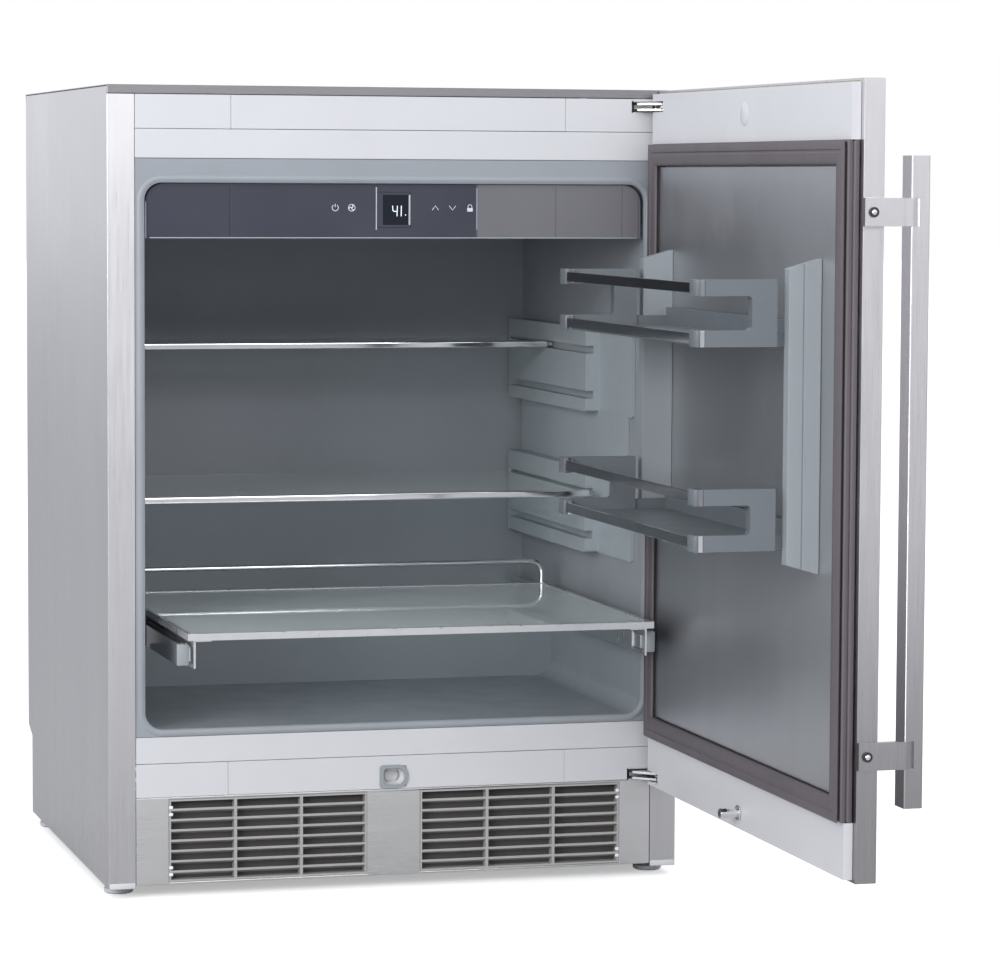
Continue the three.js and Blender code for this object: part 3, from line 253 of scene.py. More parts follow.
def glowing(name, colour, strength):
    """A lit mark, with a little unevenness of brightness."""
    look = Look(name)
    cloud = look.noise([400.0, 400.0, 400.0], 2.0)
    look.tint(look.spread(cloud, 0.0, 1.0), shade(colour, 0.85), colour)
    look.set(Emission_Color=(*colour, 1), Emission_Strength=strength, Roughness=0.4)
    return look.material


# Side and door steel carry painted shading: darker towards the floor, paler higher up.
STEEL_SIDE = brushed("steel_side", (0.62, 0.612, 0.622), "z", painted_shading=(0.1, 0.8, 0.92, 1.16))
STEEL_DOOR = brushed("steel_door", (0.62, 0.605, 0.615), "z", painted_shading=(0.1, 0.55, 0.55, 1.13))
STEEL_LEVEL = brushed("steel_grain_level", (0.66, 0.655, 0.65), "x")
# Painted shade: the top cover's steel is much darker than the side steel, for the shaded strip along
# its front edge.
SHADED_STEEL_TOP = brushed("steel_top_painted_shade", (0.25, 0.243, 0.25), "x", roughness=0.35)
GALVANISED = polished("galvanised_sheet", (0.55, 0.56, 0.57), 0.38)
CHROME = polished("bright_chrome", (0.86, 0.86, 0.87), 0.09)
DARK_CHROME = polished("dark_chrome", (0.4, 0.4, 0.42), 0.16)
WIRE_CHROME = polished("wire_chrome", (0.82, 0.83, 0.84), 0.14)
SATIN_METAL = polished("satin_metal", (0.74, 0.74, 0.75), 0.3)
BAND = moulded("pale_band", (0.56, 0.565, 0.588), 0.36, grain=1500.0, relief=0.05, vary=0.02)
LINER = moulded("liner_grey", (0.27, 0.29, 0.318), 0.34, relief=0.08, vary=0.05)
INNER_PANEL = brushed("door_inner_panel", (0.56, 0.57, 0.59), "z", roughness=0.42, contrast=0.03)
RACK = moulded("rack_grey", (0.135, 0.152, 0.168), 0.36, relief=0.02, vary=0.04)
RACK_LIGHT = moulded("rack_light_grey", (0.27, 0.296, 0.315), 0.36, relief=0.02, vary=0.03)
SUPPORT = moulded("support_grey", (0.33, 0.37, 0.395), 0.4, relief=0.02, vary=0.03)
GRILLE = moulded("grille_grey", (0.36, 0.355, 0.35), 0.45, vary=0.05)
# The fascia's paler colour past the touch keys is a painted reflection of the open door.
FASCIA = slate("fascia_slate", (0.045, 0.048, 0.066), (0.16, 0.158, 0.172))
DISPLAY = slate("display_black", (0.01, 0.012, 0.02), (0.012, 0.014, 0.022))
GASKET = moulded("gasket_taupe", (0.1, 0.088, 0.098), 0.55, grain=900.0, relief=0.2, vary=0.06)
FOOT = moulded("foot_plastic", (0.5, 0.5, 0.51), 0.6, grain=700.0, relief=0.3)
BLACK = moulded("black_plastic", (0.02, 0.021, 0.023), 0.45)
BLACK_ENAMEL = moulded("black_enamel", (0.012, 0.012, 0.014), 0.3, relief=0.04, coat=0.3)
WHITE = moulded("white_plastic", (0.8, 0.81, 0.83), 0.3, relief=0.03, vary=0.02)
FOAM = moulded("foam", (0.72, 0.64, 0.42), 0.9, grain=500.0, relief=0.6, vary=0.12)
MILL_ALUMINIUM = brushed("mill_aluminium", (0.62, 0.63, 0.65), "y", roughness=0.38)
FINS = brushed("fin_aluminium", (0.55, 0.56, 0.58), "z", roughness=0.4)
GLASS = pane("shelf_glass", (0.93, 0.98, 0.98), clear=0.85)
TRAY_GLASS = pane("tray_glass", (0.93, 0.98, 0.98), clear=0.7)
PRINT = glowing("white_print", (0.6, 0.63, 0.68), 0.12)
DIGITS = glowing("lit_digits", (0.75, 0.85, 0.93), 0.35)
LIGHT_BAR = moulded("light_bar", (0.42, 0.43, 0.47), 0.25, relief=0.02)
# Painted highlight: a pale grey for the strips on the fascia's lower edge and left end, also used for
# the line at the end of the keys.
FASCIA_HIGHLIGHT_AND_LINE = moulded("fascia_highlight_and_line", (0.3, 0.33, 0.37), 0.25, relief=0.02)
FILTER = moulded("dust_filter", (0.075, 0.07, 0.067), 0.9, grain=400.0, relief=0.8, vary=0.12)
LENS = moulded("lamp_lens", (0.5, 0.52, 0.54), 0.3)
CUP = moulded("catch_cup", (0.62, 0.62, 0.63), 0.25, relief=0.03)

# Each imported node: its material, and the width in mm that its edges are rounded to. The bend that
# counts as an edge is the same for all, EDGE_ANGLE below.
FINISHES = {
    "side_panel_left": (STEEL_SIDE, 0.9),
    "side_panel_right": (STEEL_SIDE, 0.9),
    "top_cover": (SHADED_STEEL_TOP, 0.7),
    "rear_panel": (GALVANISED, 0.4),
    "power_inlet": (BLACK, 0.5),
    "base_pan": (GALVANISED, 0.5),
    "foot_front_left": (FOOT, 0.0),
    "foot_front_right": (FOOT, 0.0),
    "foot_rear_left": (FOOT, 0.0),
    "foot_rear_right": (FOOT, 0.0),
    "upper_fascia": (BAND, 0.5),
    "frame_rail_upper": (BAND, 0.6),
    "frame_rail_lower": (BAND, 0.6),
    "lower_fascia": (BAND, 0.5),
    "catch_receptacle": (RACK_LIGHT, 0.8),
    "plinth_panel": (STEEL_LEVEL, 0.5),
    "grille_left": (GRILLE, 0.35),
    "grille_right": (GRILLE, 0.35),
    "inner_liner": (LINER, 0.9),
    "insulation": (FOAM, 0.0),
    "evaporator": (MILL_ALUMINIUM, 0.0),
    "shelf_support_left": (SUPPORT, 1.2),
    "shelf_support_right": (SUPPORT, 1.2),
    "control_fascia": (FASCIA, 0.6),
    "display_window": (DISPLAY, 0.2),
    "control_housing": (BLACK, 0.8),
    "slide_outer_left": (MILL_ALUMINIUM, 0.5),
    "slide_outer_right": (MILL_ALUMINIUM, 0.5),
    "compressor": (BLACK_ENAMEL, 0.0),
    "condenser": (FINS, 0.0),
    "condenser_fan_shroud": (BLACK, 0.6),
    "hinge_bracket_lower": (SATIN_METAL, 0.25),
    "hinge_bracket_upper": (SATIN_METAL, 0.25),
    "door_skin": (STEEL_DOOR, 0.5),
    "door_core": (FOAM, 0.0),
    "door_inner_frame": (BAND, 0.5),
    "door_inner_panel": (INNER_PANEL, 0.3),
    "rack_upright_free_side": (RACK_LIGHT, 2.0),
    "rack_upright_hinge_side": (RACK_LIGHT, 2.0),
    "handle": (STEEL_DOOR, 0.4),
    "catch_pin": (CHROME, 0.4),
    "hinge_leaf_lower": (CHROME, 0.2),
    "hinge_leaf_upper": (CHROME, 0.2),
    "rack_upper_frame": (RACK, 1.0),
    "rack_lower_frame": (RACK, 1.0),
    "rack_upper_bar_top": (DARK_CHROME, 0.4),
    "rack_upper_bar_bottom": (CHROME, 0.4),
    "rack_lower_bar_top": (DARK_CHROME, 0.4),
    "rack_lower_bar_bottom": (CHROME, 0.4),
    "slide_middle_left": (DARK_CHROME, 0.4),
    "slide_middle_right": (DARK_CHROME, 0.4),
    "tray_glass": (TRAY_GLASS, 0.4),
    "tray_frame": (SATIN_METAL, 0.4),
    "shelf_upper_glass": (GLASS, 0.4),
    "shelf_upper_trim": (CHROME, 0.3),
    "shelf_lower_glass": (GLASS, 0.4),
    "shelf_lower_trim": (CHROME, 0.3),
    "condenser_fan_rotor": (BLACK, 0.0),
    "interior_fan_rotor": (WHITE, 0.0),
}

EDGE_ANGLE = math.radians(32)


def dress(node, material, rounding):
    """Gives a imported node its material, and rounds its edges without touching its mesh."""
    obj = frame["nodes"][node]
    obj.data.materials.clear()
    obj.data.materials.append(material)
    if rounding:
        weld = obj.modifiers.new("weld", "WELD")
        weld.merge_threshold = 0.00002
        bevel = obj.modifiers.new("bevel", "BEVEL")
        bevel.width = rounding * MM
        bevel.segments = 2
        bevel.limit_method = "ANGLE"
        bevel.angle_limit = EDGE_ANGLE
        bevel.harden_normals = False
        bevel.miter_outer = "MITER_ARC"


for node, (material, rounding) in FINISHES.items():
    dress(node, material, rounding)


# ----------------------------------------------------------------------------------------------
# Making pieces
# ----------------------------------------------------------------------------------------------


def piece(name, mesh_source, material, body, place, smooth=35):
    """A bmesh laid out in mm becomes a piece that rides on a body."""
    bmesh.ops.transform(mesh_source, matrix=place, verts=mesh_source.verts)
    bmesh.ops.recalc_face_normals(mesh_source, faces=mesh_source.faces)
    for face in mesh_source.faces:
        face.smooth = True
    mesh = bpy.data.meshes.new(name)
    mesh_source.to_mesh(mesh)
    mesh_source.free()
    mesh.set_sharp_from_angle(angle=math.radians(smooth))
    mesh.materials.append(material)
    obj = bpy.data.objects.new(name, mesh)
    bpy.context.scene.collection.objects.link(obj)
    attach(obj, body)
    return obj


def add_block(source, low, high, rounding=0.0, segments=2):
    """A box with rounded edges, added to a bmesh."""
    low, high = Vector(low), Vector(high)
    size = high - low
    place = Matrix.Translation((low + high) / 2) @ Matrix.Diagonal((*size, 1))
    made = bmesh.ops.create_cube(source, size=1.0, matrix=place)
    if rounding:
        edges = list({edge for vert in made["verts"] for edge in vert.link_edges})
        bmesh.ops.bevel(
            source, geom=edges, offset=rounding, segments=segments, profile=0.5, affect="EDGES"
        )


def add_rings(source, rings, close_ends=True, close_loop=False):
    """Faces between rings of points that all hold the same number of points."""
    verts = [[source.verts.new(point) for point in ring] for ring in rings]
    pairs = list(zip(verts, verts[1:]))
    if close_loop:
        pairs.append((verts[-1], verts[0]))
    for a, b in pairs:
        count = len(a)
        for i in range(count):
            j = (i + 1) % count
            source.faces.new((a[i], a[j], b[j], b[i]))
    if close_ends and not close_loop:
        source.faces.new(list(reversed(verts[0])))
        source.faces.new(verts[-1])


def add_turned(source, profile, centre, axis, sides=32):
    """A turned shape: (radius, height) pairs about an axis through a centre."""
    turn = Vector((0, 0, 1)).rotation_difference(Vector(axis)).to_matrix()
    rings = []
    for radius, height in profile:
        ring = []
        for i in range(sides):
            angle = 2 * math.pi * i / sides
            point = Vector((radius * math.cos(angle), radius * math.sin(angle), height))
            ring.append(Vector(centre) + turn @ point)
        rings.append(ring)
    add_rings(source, rings)


def add_prism(source, outline, place, depth):
    """A flat outline in (across, up), pushed forward from a plane by depth."""
    back = [place(a, b, 0.0) for a, b in outline]
    front = [place(a, b, depth) for a, b in outline]
    add_rings(source, [back, front])


def add_line(source, points, width, place, depth, closed=False):
    """A drawn line of even width along flat points, as a thin raised strip."""
    count = len(points)
    left, right = [], []
    for i, point in enumerate(points):
        before = points[i - 1] if (i > 0 or closed) else point
        after = points[(i + 1) % count] if (i < count - 1 or closed) else point
        along = (Vector(after) - Vector(before)).normalized()
        side = Vector((-along.y, along.x)) * width / 2
        left.append(tuple(Vector(point) + side))
        right.append(tuple(Vector(point) - side))
    last = count if closed else count - 1
    for i in range(last):
        j = (i + 1) % count
        add_prism(source, [left[i], left[j], right[j], right[i]], place, depth)


def arc(centre, radius, start, end, steps=14):
    """Points along part of a circle, between two angles in degrees."""
    angles = [math.radians(start + (end - start) * i / steps) for i in range(steps + 1)]
    return [
        (centre[0] + radius * math.cos(a), centre[1] + radius * math.sin(a)) for a in angles
    ]


def upright_ring(left, right, bottom, top, y):
    """The four corners of an upright rectangle that faces front or back."""
    return [
        Vector((left, y, bottom)),
        Vector((right, y, bottom)),
        Vector((right, y, top)),
        Vector((left, y, top)),
    ]


def add_tube(source, points, radius, sides=14):
    """A round tube along points that lie in one upright plane across the cabinet."""
    rings = []
    for i, point in enumerate(points):
        before = Vector(points[max(i - 1, 0)])
        after = Vector(points[min(i + 1, len(points) - 1)])
        along = (after - before).normalized()
        out = Vector((0, 1, 0))
        side = along.cross(out)
        ring = []
        for k in range(sides):
            angle = 2 * math.pi * k / sides
            ring.append(Vector(point) + radius * (math.cos(angle) * out + math.sin(angle) * side))
        rings.append(ring)
    add_rings(source, rings)


# ----------------------------------------------------------------------------------------------
# Control fascia: printed marks, display digits, light bars
# ----------------------------------------------------------------------------------------------

INK = 0.12  # mm that a printed mark stands out
ICON_Z = 698.0
ICON_X = {"power": -66.0, "fan": -48.8, "up": 38.9, "down": 56.9, "lock": 75.4}
ICON_STROKE = 0.65

# The display's clear window in its slate mask, and the two light bars beside it.
WINDOW_LEFT, WINDOW_RIGHT = -16.2, 12.6
WINDOW_BOTTOM, WINDOW_TOP = 680.6, 711.2
LONG_BAR = (-23.8, -22.6, 675.8, 719.0)
SHORT_BAR = (10.7, 12.5, WINDOW_BOTTOM, WINDOW_TOP)

# Heights of a digit's foot, middle and head, and the width of its stroke.
DIGIT_FOOT, DIGIT_MIDDLE, DIGIT_HEAD = 689.4, 694.4, 700.2
DIGIT_STROKE = 0.9

fascia_front = box_in("control_fascia", IN_CABINET)[0].y
display_low, display_high = box_in("display_window", IN_CABINET)


def on_front(front):
    """Takes (across, up, out) to a point on an upright face of the cabinet."""
    return lambda across, up, out: Vector((across, front - out, up))


def build_icons():
    """The printed touch keys: power, fan, arrows up and down, and lock."""
    source = bmesh.new()
    place = on_front(fascia_front)

    def stroke(points, closed=False, width=ICON_STROKE):
        add_line(source, points, width, place, INK, closed)

    x, z = ICON_X["power"], ICON_Z
    stroke(arc((x, z), 3.2, 125, 415, 20))
    stroke([(x, z + 0.6), (x, z + 3.9)])
    x = ICON_X["fan"]
    stroke(arc((x, z), 3.5, 0, 345, 23), closed=True, width=0.6)
    for turn in (95, 215, 335):
        blade = arc((x, z), 1.6, turn, turn + 60, 1)[0]
        stroke(arc(blade, 1.5, turn - 175, turn - 20, 6), width=0.9)
    for name, way in (("up", 1), ("down", -1)):
        x = ICON_X[name]
        stroke([(x - 3.4, z - 2.2 * way), (x, z + 2.2 * way), (x + 3.4, z - 2.2 * way)])
    x = ICON_X["lock"]
    lock_body = [(x - 2.9, z - 3.6), (x + 2.9, z - 3.6), (x + 2.9, z), (x - 2.9, z)]
    add_prism(source, lock_body, place, INK)
    stroke([(x + 2.0, z), *arc((x, z + 1.4), 2.0, 0, 180, 10), (x - 2.0, z)])
    piece("fascia_icons", source, PRINT, "cabinet", IN_CABINET)


def build_display():
    """A slate mask round the dark window, light bars beside it, and its lit digits."""
    front = display_low.y
    mask = bmesh.new()
    window = (WINDOW_LEFT, WINDOW_RIGHT, WINDOW_BOTTOM, WINDOW_TOP)
    outside = (display_low.x, display_high.x, display_low.z, display_high.z)
    add_rings(
        mask,
        [
            upright_ring(*outside, front + 0.2),
            upright_ring(*outside, front - INK),
            upright_ring(*window, front - INK),
            upright_ring(*window, front + 0.2),
        ],
        close_loop=True,
    )
    piece("display_mask", mask, FASCIA, "cabinet", IN_CABINET)

    bars = bmesh.new()
    out = min(front, fascia_front)
    for left, right, bottom, top in (LONG_BAR, SHORT_BAR):
        add_block(bars, (left, out - 0.3, bottom), (right, out - 0.02, top))
    piece("display_light_bars", bars, LIGHT_BAR, "cabinet", IN_CABINET)

    digits = bmesh.new()
    place = on_front(front)
    four_arm = [
        (-6.0, DIGIT_HEAD),
        (-5.7, DIGIT_MIDDLE + 1.0),
        (-4.6, DIGIT_MIDDLE),
        (-1.2, DIGIT_MIDDLE),
    ]
    four_stem = [(-1.0, DIGIT_HEAD), (-1.2, DIGIT_MIDDLE), (-1.4, DIGIT_FOOT)]
    one = [(3.2, DIGIT_HEAD), (3.0, DIGIT_FOOT)]
    dot = [(7.6, DIGIT_FOOT + 2.0), (7.6, DIGIT_FOOT + 0.8)]
    for points in (four_arm, four_stem, one, dot):
        add_line(digits, points, DIGIT_STROKE, place, INK)
    piece("display_digits", digits, DIGITS, "cabinet", IN_CABINET)


def build_fascia_highlights_and_line():
    """Pale strips painted as highlights along the fascia's lower edge and left end, and the line at
    the end of the keys.
    """
    low, high = box_in("control_fascia", IN_CABINET)
    source = bmesh.new()
    front = fascia_front
    # Painted highlights: pale strips along the lower edge and the left end.
    add_block(source, (low.x + 2, front - 0.25, low.z), (high.x - 2, front + 0.6, low.z + 1.1))
    add_block(source, (low.x - 2.4, front - 0.25, low.z), (low.x - 1.4, front + 0.6, high.z - 16))
    line_low = (PALE_FROM - 0.8, front - 0.2, low.z + 9)
    line_high = (PALE_FROM + 0.2, front + 0.1, high.z - 1)
    add_block(source, line_low, line_high)
    piece("fascia_highlights_and_line", source, FASCIA_HIGHLIGHT_AND_LINE, "cabinet", IN_CABINET)


RIM_BEND = 16.5
RIM_WIDTH = 4.6


def build_fascia_rim():
    """A thin slate lip round the fascia's ends and top, that closes on the liner."""
    low, high = box_in("control_fascia", IN_CABINET)
    bend = RIM_BEND
    path = [
        (low.x, low.z),
        (low.x, high.z - bend),
        *arc((low.x + bend, high.z - bend), bend, 180, 90, 8)[1:],
        *arc((high.x - bend, high.z - bend), bend, 90, 0, 8),
        (high.x, low.z),
    ]
    source = bmesh.new()
    add_line(source, path, RIM_WIDTH, on_front(fascia_front + 2.2), 1.6)
    piece("fascia_rim", source, FASCIA, "cabinet", IN_CABINET)


MOUTH_HALF = 262.5
MOUTH_BOTTOM = 171.0
MOUTH_TOP = 723.0
MOUTH_BEND = 18.0
# The rolled edge's section: distance out from the mouth, and depth behind the front plane.
MOUTH_SECTION = [
    (7.0, 1.1), (6.4, 0.5), (4.0, 0.1), (1.6, 0.4),
    (0.2, 1.3), (-0.7, 3.0), (-0.7, 7.0), (0.3, 8.0),
]


def build_liner_mouth():
    """The softly rolled edge of the liner's mouth."""
    right = MOUTH_HALF - MOUTH_BEND
    low, high = MOUTH_BOTTOM + MOUTH_BEND, MOUTH_TOP - MOUTH_BEND
    corners = ((right, high, 0), (-right, high, 90), (-right, low, 180), (right, low, 270))
    rings = []
    for out, depth in MOUTH_SECTION:
        outline = []
        for x, z, start in corners:
            outline += arc((x, z), MOUTH_BEND + out, start, start + 90, 10)
        rings.append([Vector((x, depth, z)) for x, z in outline])
    source = bmesh.new()
    add_rings(source, rings, close_loop=True)
    piece("liner_mouth", source, LINER, "cabinet", IN_CABINET, smooth=60)


FILTER_THICK = 3.0


def build_dust_filters():
    """The dark filter mats behind the two grilles."""
    source = bmesh.new()
    for node in ("grille_left", "grille_right"):
        low, high = box_in(node, IN_CABINET)
        front = high.y + 0.5
        back = front + FILTER_THICK
        add_block(source, (low.x + 1, front, low.z + 1), (high.x - 1, back, high.z - 1))
    piece("dust_filters", source, FILTER, "cabinet", IN_CABINET)


def build_hinge_windows():
    """Pale plates that close the windows round the hinge brackets, above and below each."""
    source = bmesh.new()
    near, far = 0.6, 3.5
    for node in ("hinge_bracket_lower", "hinge_bracket_upper"):
        low, high = box_in(node, IN_CABINET)
        for bottom, top in ((low.z - far, low.z - near), (high.z + near, high.z + far)):
            add_block(source, (low.x - 2, 1.5, bottom), (low.x + 22, 3.0, top))
    piece("hinge_windows", source, BAND, "cabinet", IN_CABINET)


LENS_HALF = 119
LENS_FRONT, LENS_BACK = 21, 39


def build_lamp():
    """The lamp's lens, let into the underside of the control housing."""
    under = box_in("control_housing", IN_CABINET)[0].z
    source = bmesh.new()
    low = (-LENS_HALF, LENS_FRONT, under - 1.5)
    high = (LENS_HALF, LENS_BACK, under + 3.5)
    add_block(source, low, high, 1.2)
    piece("lamp_lens", source, LENS, "cabinet", IN_CABINET)


# ----------------------------------------------------------------------------------------------
# Front of the cabinet: grille clips, foot caps of the posts, catch
# ----------------------------------------------------------------------------------------------


CLIP_X = (-236.3, 236.6)
CLIP_Z = (91.5, 84.5, 30.0, 23.0)


def build_grille_clips():
    """Pairs of small clips that hold each grille at its outer corners."""
    front = box_in("plinth_panel", IN_CABINET)[0].y
    source = bmesh.new()
    for x in CLIP_X:
        for z in CLIP_Z:
            low, high = (x - 2.0, front - 0.9, z - 1.6), (x + 2.0, front + 0.4, z + 1.6)
            add_block(source, low, high, 0.7)
    piece("grille_clips", source, WHITE, "cabinet", IN_CABINET)


POST_CAP_HEIGHT = 6


def build_post_caps():
    """Pale plastic strips that close the lower ends of the posts."""
    source = bmesh.new()
    for node in ("side_panel_left", "side_panel_right"):
        low, high = box_in(node, IN_CABINET)
        cap_low = (low.x + 0.6, low.y - 0.5, low.z + 0.3)
        cap_high = (high.x - 0.6, 1.0, low.z + POST_CAP_HEIGHT)
        add_block(source, cap_low, cap_high, 0.4)
    piece("post_caps", source, BAND, "cabinet", IN_CABINET)


# The cup's D-shaped outline from the catch's middle, as rounded corners: (centre, radius, start
# angle). Its depth is in steps: (size against the outline, depth behind the front plane).
CUP_CORNERS = [
    ((3.4, 0.9), 7.4, 0),
    ((-7.6, 5.1), 3.2, 90),
    ((-7.6, -5.1), 3.2, 180),
    ((3.4, -0.9), 7.4, 270),
]
CUP_STEPS = [
    (1.0, -1.3), (0.99, 1.5), (0.95, 4.5), (0.88, 7.2),
    (0.78, 8.6), (0.66, 12.4), (0.4, 13.2), (0.12, 13.5),
]


def build_catch():
    """The pale dished cup in the mouth of the catch. Its middle is deep enough for the pin."""
    low, high = box_in("catch_receptacle", IN_CABINET)
    x, z = (low.x + high.x) / 2, (low.z + high.z) / 2
    outline = []
    for centre, radius, start in CUP_CORNERS:
        outline += arc(centre, radius, start, start + 90, 6)
    source = bmesh.new()
    rings = []
    for size, depth in CUP_STEPS:
        rings.append([Vector((x + a * size, depth, z + b * size)) for a, b in outline])
    add_rings(source, rings, close_ends=False)
    source.faces.new(list(source.verts)[-len(outline):])
    piece("catch_cup", source, CUP, "cabinet", IN_CABINET, smooth=60)


# ----------------------------------------------------------------------------------------------
# Door: seal, plug, handle screws, rack clips
# ----------------------------------------------------------------------------------------------

# The seal's section: distance in from its outer side, and distance down from its top face.
SEAL_SECTION = [
    (5.0, 15.8), (0.8, 15.4), (0.0, 14.2), (0.0, 11.6), (0.9, 10.4), (1.7, 9.9),
    (0.8, 9.3), (0.0, 8.0), (0.0, 5.6), (1.2, 4.2), (5.5, 4.0), (5.5, 1.7),
    (0.6, 1.3), (0.2, 0.6), (1.2, 0.0), (8.0, 0.0), (9.2, 0.9), (10.2, 0.9),
    (11.4, 0.1), (19.5, 0.3), (21.5, 1.4), (22.2, 3.0), (21.2, 4.6), (19.5, 5.6), (19.5, 13.5),
]


def build_seal():
    """The seal with its folds and lip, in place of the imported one's plain block."""
    low, high = box_in("door_gasket", IN_DOOR)
    source = bmesh.new()
    rings = []
    for inset, drop in SEAL_SECTION:
        left, right = low.x + inset, high.x - inset
        bottom, top = low.z + inset, high.z - inset
        rings.append(upright_ring(left, right, bottom, top, high.y - drop))
    add_rings(source, rings, close_loop=True)
    seal = piece("door_seal", source, GASKET, "door", IN_DOOR)
    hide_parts("door_gasket")


PLUG_Z = 791
PLUG_PROFILE = [(11.5, -0.2), (11.5, 0.25), (10.9, 0.55), (0.4, 0.6)]


def build_door_plug():
    """The round plug in the door's inner face, above its seal."""
    face = box_in("door_inner_frame", IN_DOOR)[1].y
    source = bmesh.new()
    add_turned(source, PLUG_PROFILE, (0, face, PLUG_Z), (0, 1, 0))
    piece("door_plug", source, BAND, "door", IN_DOOR)


SCREW_Y = -24
SCREW_Z = (212.5, 700.0)
WASHER_PROFILE = [(4.6, -0.4), (4.6, 0.5), (4.2, 0.8), (2.6, 0.8), (2.4, 0.3)]
HEAD_PROFILE = [(2.5, 0.0), (2.4, 1.0), (1.7, 1.6), (0.3, 1.9)]


def build_handle_screws():
    """A screw with a bright domed head and a dark washer in each bracket of the handle."""
    washers, heads = bmesh.new(), bmesh.new()
    left = box_in("handle", IN_DOOR)[0].x
    for z in SCREW_Z:
        centre = (left, SCREW_Y, z)
        add_turned(washers, WASHER_PROFILE, centre, (-1, 0, 0))
        add_turned(heads, HEAD_PROFILE, centre, (-1, 0, 0))
    piece("handle_washers", washers, BLACK, "door", IN_DOOR)
    piece("handle_screws", heads, CHROME, "door", IN_DOOR)


BAR_CAP_LENGTH = 20.3
BAR_CAP_OVER = 0.3


def build_rack_clips(rack):
    """The grey caps on the ends of a rack's two bars."""
    source = bmesh.new()
    for bar in ("top", "bottom"):
        low, high = box_in(f"{rack}_bar_{bar}", IN_DOOR)
        bottom, top = low.z - BAR_CAP_OVER, high.z + BAR_CAP_OVER
        for left, right in (
            (low.x - BAR_CAP_OVER, low.x + BAR_CAP_LENGTH),
            (high.x - BAR_CAP_LENGTH, high.x + BAR_CAP_OVER),
        ):
            add_block(source, (left, high.y - 4, bottom), (right, high.y + 0.5, top), 1.0)
    piece(f"{rack}_clips", source, RACK, rack, IN_DOOR)


# ----------------------------------------------------------------------------------------------
# Tray: guard rail, and the slides' end caps, ball cages and rivets
# ----------------------------------------------------------------------------------------------

RAIL_HALF = 236.0
RAIL_FOOT = 279.0
RAIL_BEND = 13.0
RAIL_RADIUS = 2.75

def build_guard_rail():
    """The bright rail that stands across the tray's back, bent down at its ends."""
    high = box_in("tray_frame", IN_TRAY)[1]
    back, top = high.y - 2.7, high.z - 2.5
    corner_x, corner_z = RAIL_HALF - RAIL_BEND, top - RAIL_BEND
    path = [
        (-RAIL_HALF, RAIL_FOOT),
        (-RAIL_HALF, corner_z),
        *arc((-corner_x, corner_z), RAIL_BEND, 180, 90, 8),
        *arc((corner_x, corner_z), RAIL_BEND, 90, 0, 8),
        (RAIL_HALF, RAIL_FOOT),
    ]
    source = bmesh.new()
    add_tube(source, [(x, back, z) for x, z in path], RAIL_RADIUS)
    piece("tray_guard_rail", source, WIRE_CHROME, "tray", IN_TRAY, smooth=60)


# The slides' fittings: distances out from the cabinet's middle, y behind the tray's front edge,
# and reach above and below the slides' middle height.
SLIDE_MIDDLE_Z = 258
END_CAP_INNER, END_CAP_OUTER = 235.5, 247.0
END_CAP_FRONT, END_CAP_BACK = 18.5, 23.9
END_CAP_REACH = 10.5
CAGE_INNER, CAGE_OUTER = 239.2, 240.6
CAGE_FRONT, CAGE_BACK = 27, 44
CAGE_REACH = 6
BALL_X, RIVET_X = 239.4, 239.8
BALL_Y = (31, 36, 41)
RIVET_Y = 62
BALL_PROFILE = [(1.7, -0.4), (1.6, 0.5), (0.3, 1.1)]
RIVET_PROFILE = [(3.0, -0.4), (2.8, 0.7), (0.4, 1.3)]


def build_slide_fittings():
    """On each slide an end cap that goes with the tray, and a ball cage and a rivet."""
    caps, cages, rivets = bmesh.new(), bmesh.new(), bmesh.new()
    z = SLIDE_MIDDLE_Z
    for side in (-1, 1):
        left, right = sorted((side * END_CAP_INNER, side * END_CAP_OUTER))
        cap_low = (left, END_CAP_FRONT, z - END_CAP_REACH)
        cap_high = (right, END_CAP_BACK, z + END_CAP_REACH)
        add_block(caps, cap_low, cap_high, 1.0)
        left, right = sorted((side * CAGE_INNER, side * CAGE_OUTER))
        cage_low = (left, CAGE_FRONT, z - CAGE_REACH)
        cage_high = (right, CAGE_BACK, z + CAGE_REACH)
        add_block(cages, cage_low, cage_high, 0.5)
        inward = (-side, 0, 0)
        for y in BALL_Y:
            add_turned(rivets, BALL_PROFILE, (side * BALL_X, y, z), inward, 16)
        add_turned(rivets, RIVET_PROFILE, (side * RIVET_X, RIVET_Y, z), inward, 20)
    piece("slide_end_caps", caps, RACK_LIGHT, "tray", IN_TRAY)
    piece("slide_ball_cages", cages, BLACK, "tray_carriage", IN_TRAY)
    piece("slide_rivets", rivets, CHROME, "tray_carriage", IN_TRAY)


build_icons()
build_display()
build_fascia_highlights_and_line()
build_fascia_rim()
build_liner_mouth()
build_lamp()
build_dust_filters()
build_hinge_windows()
build_grille_clips()
build_post_caps()
build_catch()
build_seal()
build_door_plug()
build_handle_screws()
build_rack_clips("rack_upper")
build_rack_clips("rack_lower")
build_guard_rail()
build_slide_fittings()

# ----------------------------------------------------------------------------------------------
# Stage, light and camera
# ----------------------------------------------------------------------------------------------


FLOOR_REACH = 30.0
FLOOR_GREY = (0.5, 0.5, 0.505)
FLOOR_PALE = (0.95, 0.95, 0.955)
FLOOR_GLOW = 0.4


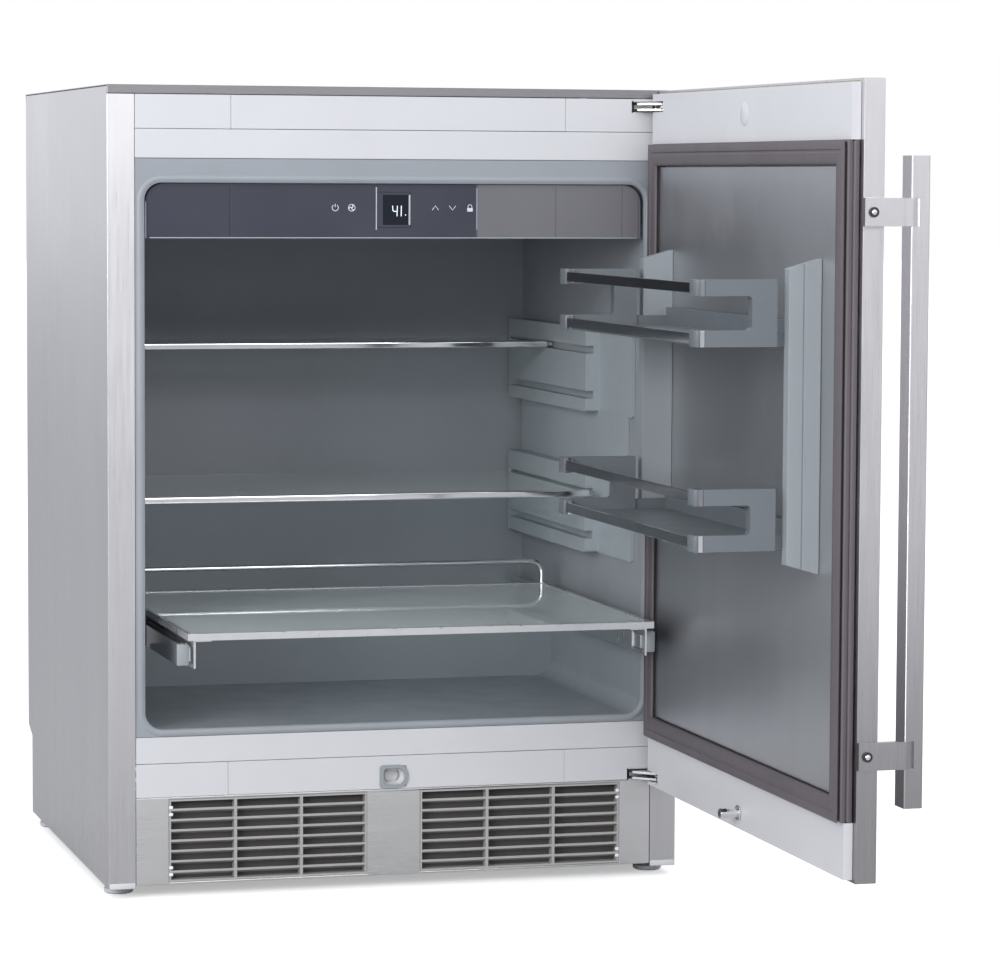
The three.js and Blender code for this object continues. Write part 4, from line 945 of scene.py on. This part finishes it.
def build_stage():
    """A wide pale floor."""
    source = bmesh.new()
    reach = FLOOR_REACH
    corners = [(-reach, -reach), (reach, -reach), (reach, reach), (-reach, reach)]
    source.faces.new([source.verts.new((x, y, 0.0)) for x, y in corners])
    mesh = bpy.data.meshes.new("floor")
    source.to_mesh(mesh)
    source.free()
    look = Look("studio_floor")
    # The floor is seen pale, and throws back less light than that, as in a large dim studio.
    seen = look.node("ShaderNodeLightPath").outputs["Is Camera Ray"]
    faint = look.spread(look.noise([3.0, 3.0, 3.0]), 0.0, 0.03)
    bright = look.node("ShaderNodeMath", {0: seen, 1: faint}, operation="SUBTRACT").outputs[0]
    look.tint(bright, FLOOR_GREY, FLOOR_PALE)
    glow = look.node("ShaderNodeMath", {0: seen, 1: FLOOR_GLOW}, operation="MULTIPLY").outputs[0]
    look.drive("Emission Strength", glow)
    look.set(Roughness=0.8, Emission_Color=(1, 1, 1, 1))
    mesh.materials.append(look.material)
    floor = bpy.data.objects.new("floor", mesh)
    bpy.context.scene.collection.objects.link(floor)


def softbox(name, place, aim, width, height, watts):
    """An area lamp at a place, turned to face its aim."""
    light = bpy.data.lights.new(name, "AREA")
    light.shape = "RECTANGLE"
    light.size = width
    light.size_y = height
    light.energy = watts
    lamp = bpy.data.objects.new(name, light)
    lamp.location = place
    lamp.rotation_euler = (Vector(aim) - Vector(place)).to_track_quat("-Z", "Y").to_euler()
    bpy.context.scene.collection.objects.link(lamp)


ROOM_TINT = (0.93, 0.95, 1.0, 1)
ROOM_STRENGTH = 0.95
# The softboxes: name, place, aim, width, height, watts.
SOFTBOXES = [
    ("key", (-3.1, -3.0, 1.6), (0.1, -0.2, 0.45), 2.2, 1.8, 105),
    ("front", (0.4, -4.6, 2.2), (0, 0, 0.5), 2.2, 1.2, 40),
    ("top", (0, -0.6, 3.4), (0, 0, 0.4), 3.0, 2.4, 12),
]


def build_light():
    """A pale room, white where it is seen directly, and the softboxes."""
    world = bpy.data.worlds.new("studio")
    world.use_nodes = True
    bpy.context.scene.world = world
    tree = world.node_tree
    surround = tree.nodes["Background"]
    surround.inputs["Color"].default_value = ROOM_TINT
    surround.inputs["Strength"].default_value = ROOM_STRENGTH
    seen = tree.nodes.new("ShaderNodeBackground")
    seen.inputs["Color"].default_value = (1, 1, 1, 1)
    seen.inputs["Strength"].default_value = 1.0
    rays = tree.nodes.new("ShaderNodeLightPath")
    mix = tree.nodes.new("ShaderNodeMixShader")
    tree.links.new(rays.outputs["Is Camera Ray"], mix.inputs[0])
    tree.links.new(surround.outputs[0], mix.inputs[1])
    tree.links.new(seen.outputs[0], mix.inputs[2])
    tree.links.new(mix.outputs[0], tree.nodes["World Output"].inputs["Surface"])
    for name, place, aim, width, height, watts in SOFTBOXES:
        softbox(name, place, aim, width, height, watts)
    bpy.context.scene.view_settings.view_transform = "Standard"


CAMERA_PLACE = (-0.96463, -4.1073, 0.72705)
CAMERA_YAW, CAMERA_PITCH, CAMERA_ROLL = 15.596, -4.39, 0.281
CAMERA_LENS = 139.87


def build_camera():
    """The camera stands to the left, some four metres in front, just below the cabinet's top."""
    camera = bpy.data.cameras.new("camera")
    camera.lens = CAMERA_LENS
    camera.sensor_width = 36.0
    camera.clip_end = 100.0
    holder = bpy.data.objects.new("camera", camera)
    holder.location = CAMERA_PLACE
    yaw, pitch, roll = (math.radians(a) for a in (CAMERA_YAW, CAMERA_PITCH, CAMERA_ROLL))
    turn = (
        Matrix.Rotation(-yaw, 4, "Z")
        @ Matrix.Rotation(math.radians(90) + pitch, 4, "X")
        @ Matrix.Rotation(roll, 4, "Z")
    )
    holder.rotation_euler = turn.to_euler()
    bpy.context.scene.collection.objects.link(holder)
    bpy.context.scene.camera = holder


build_stage()
build_light()
build_camera()
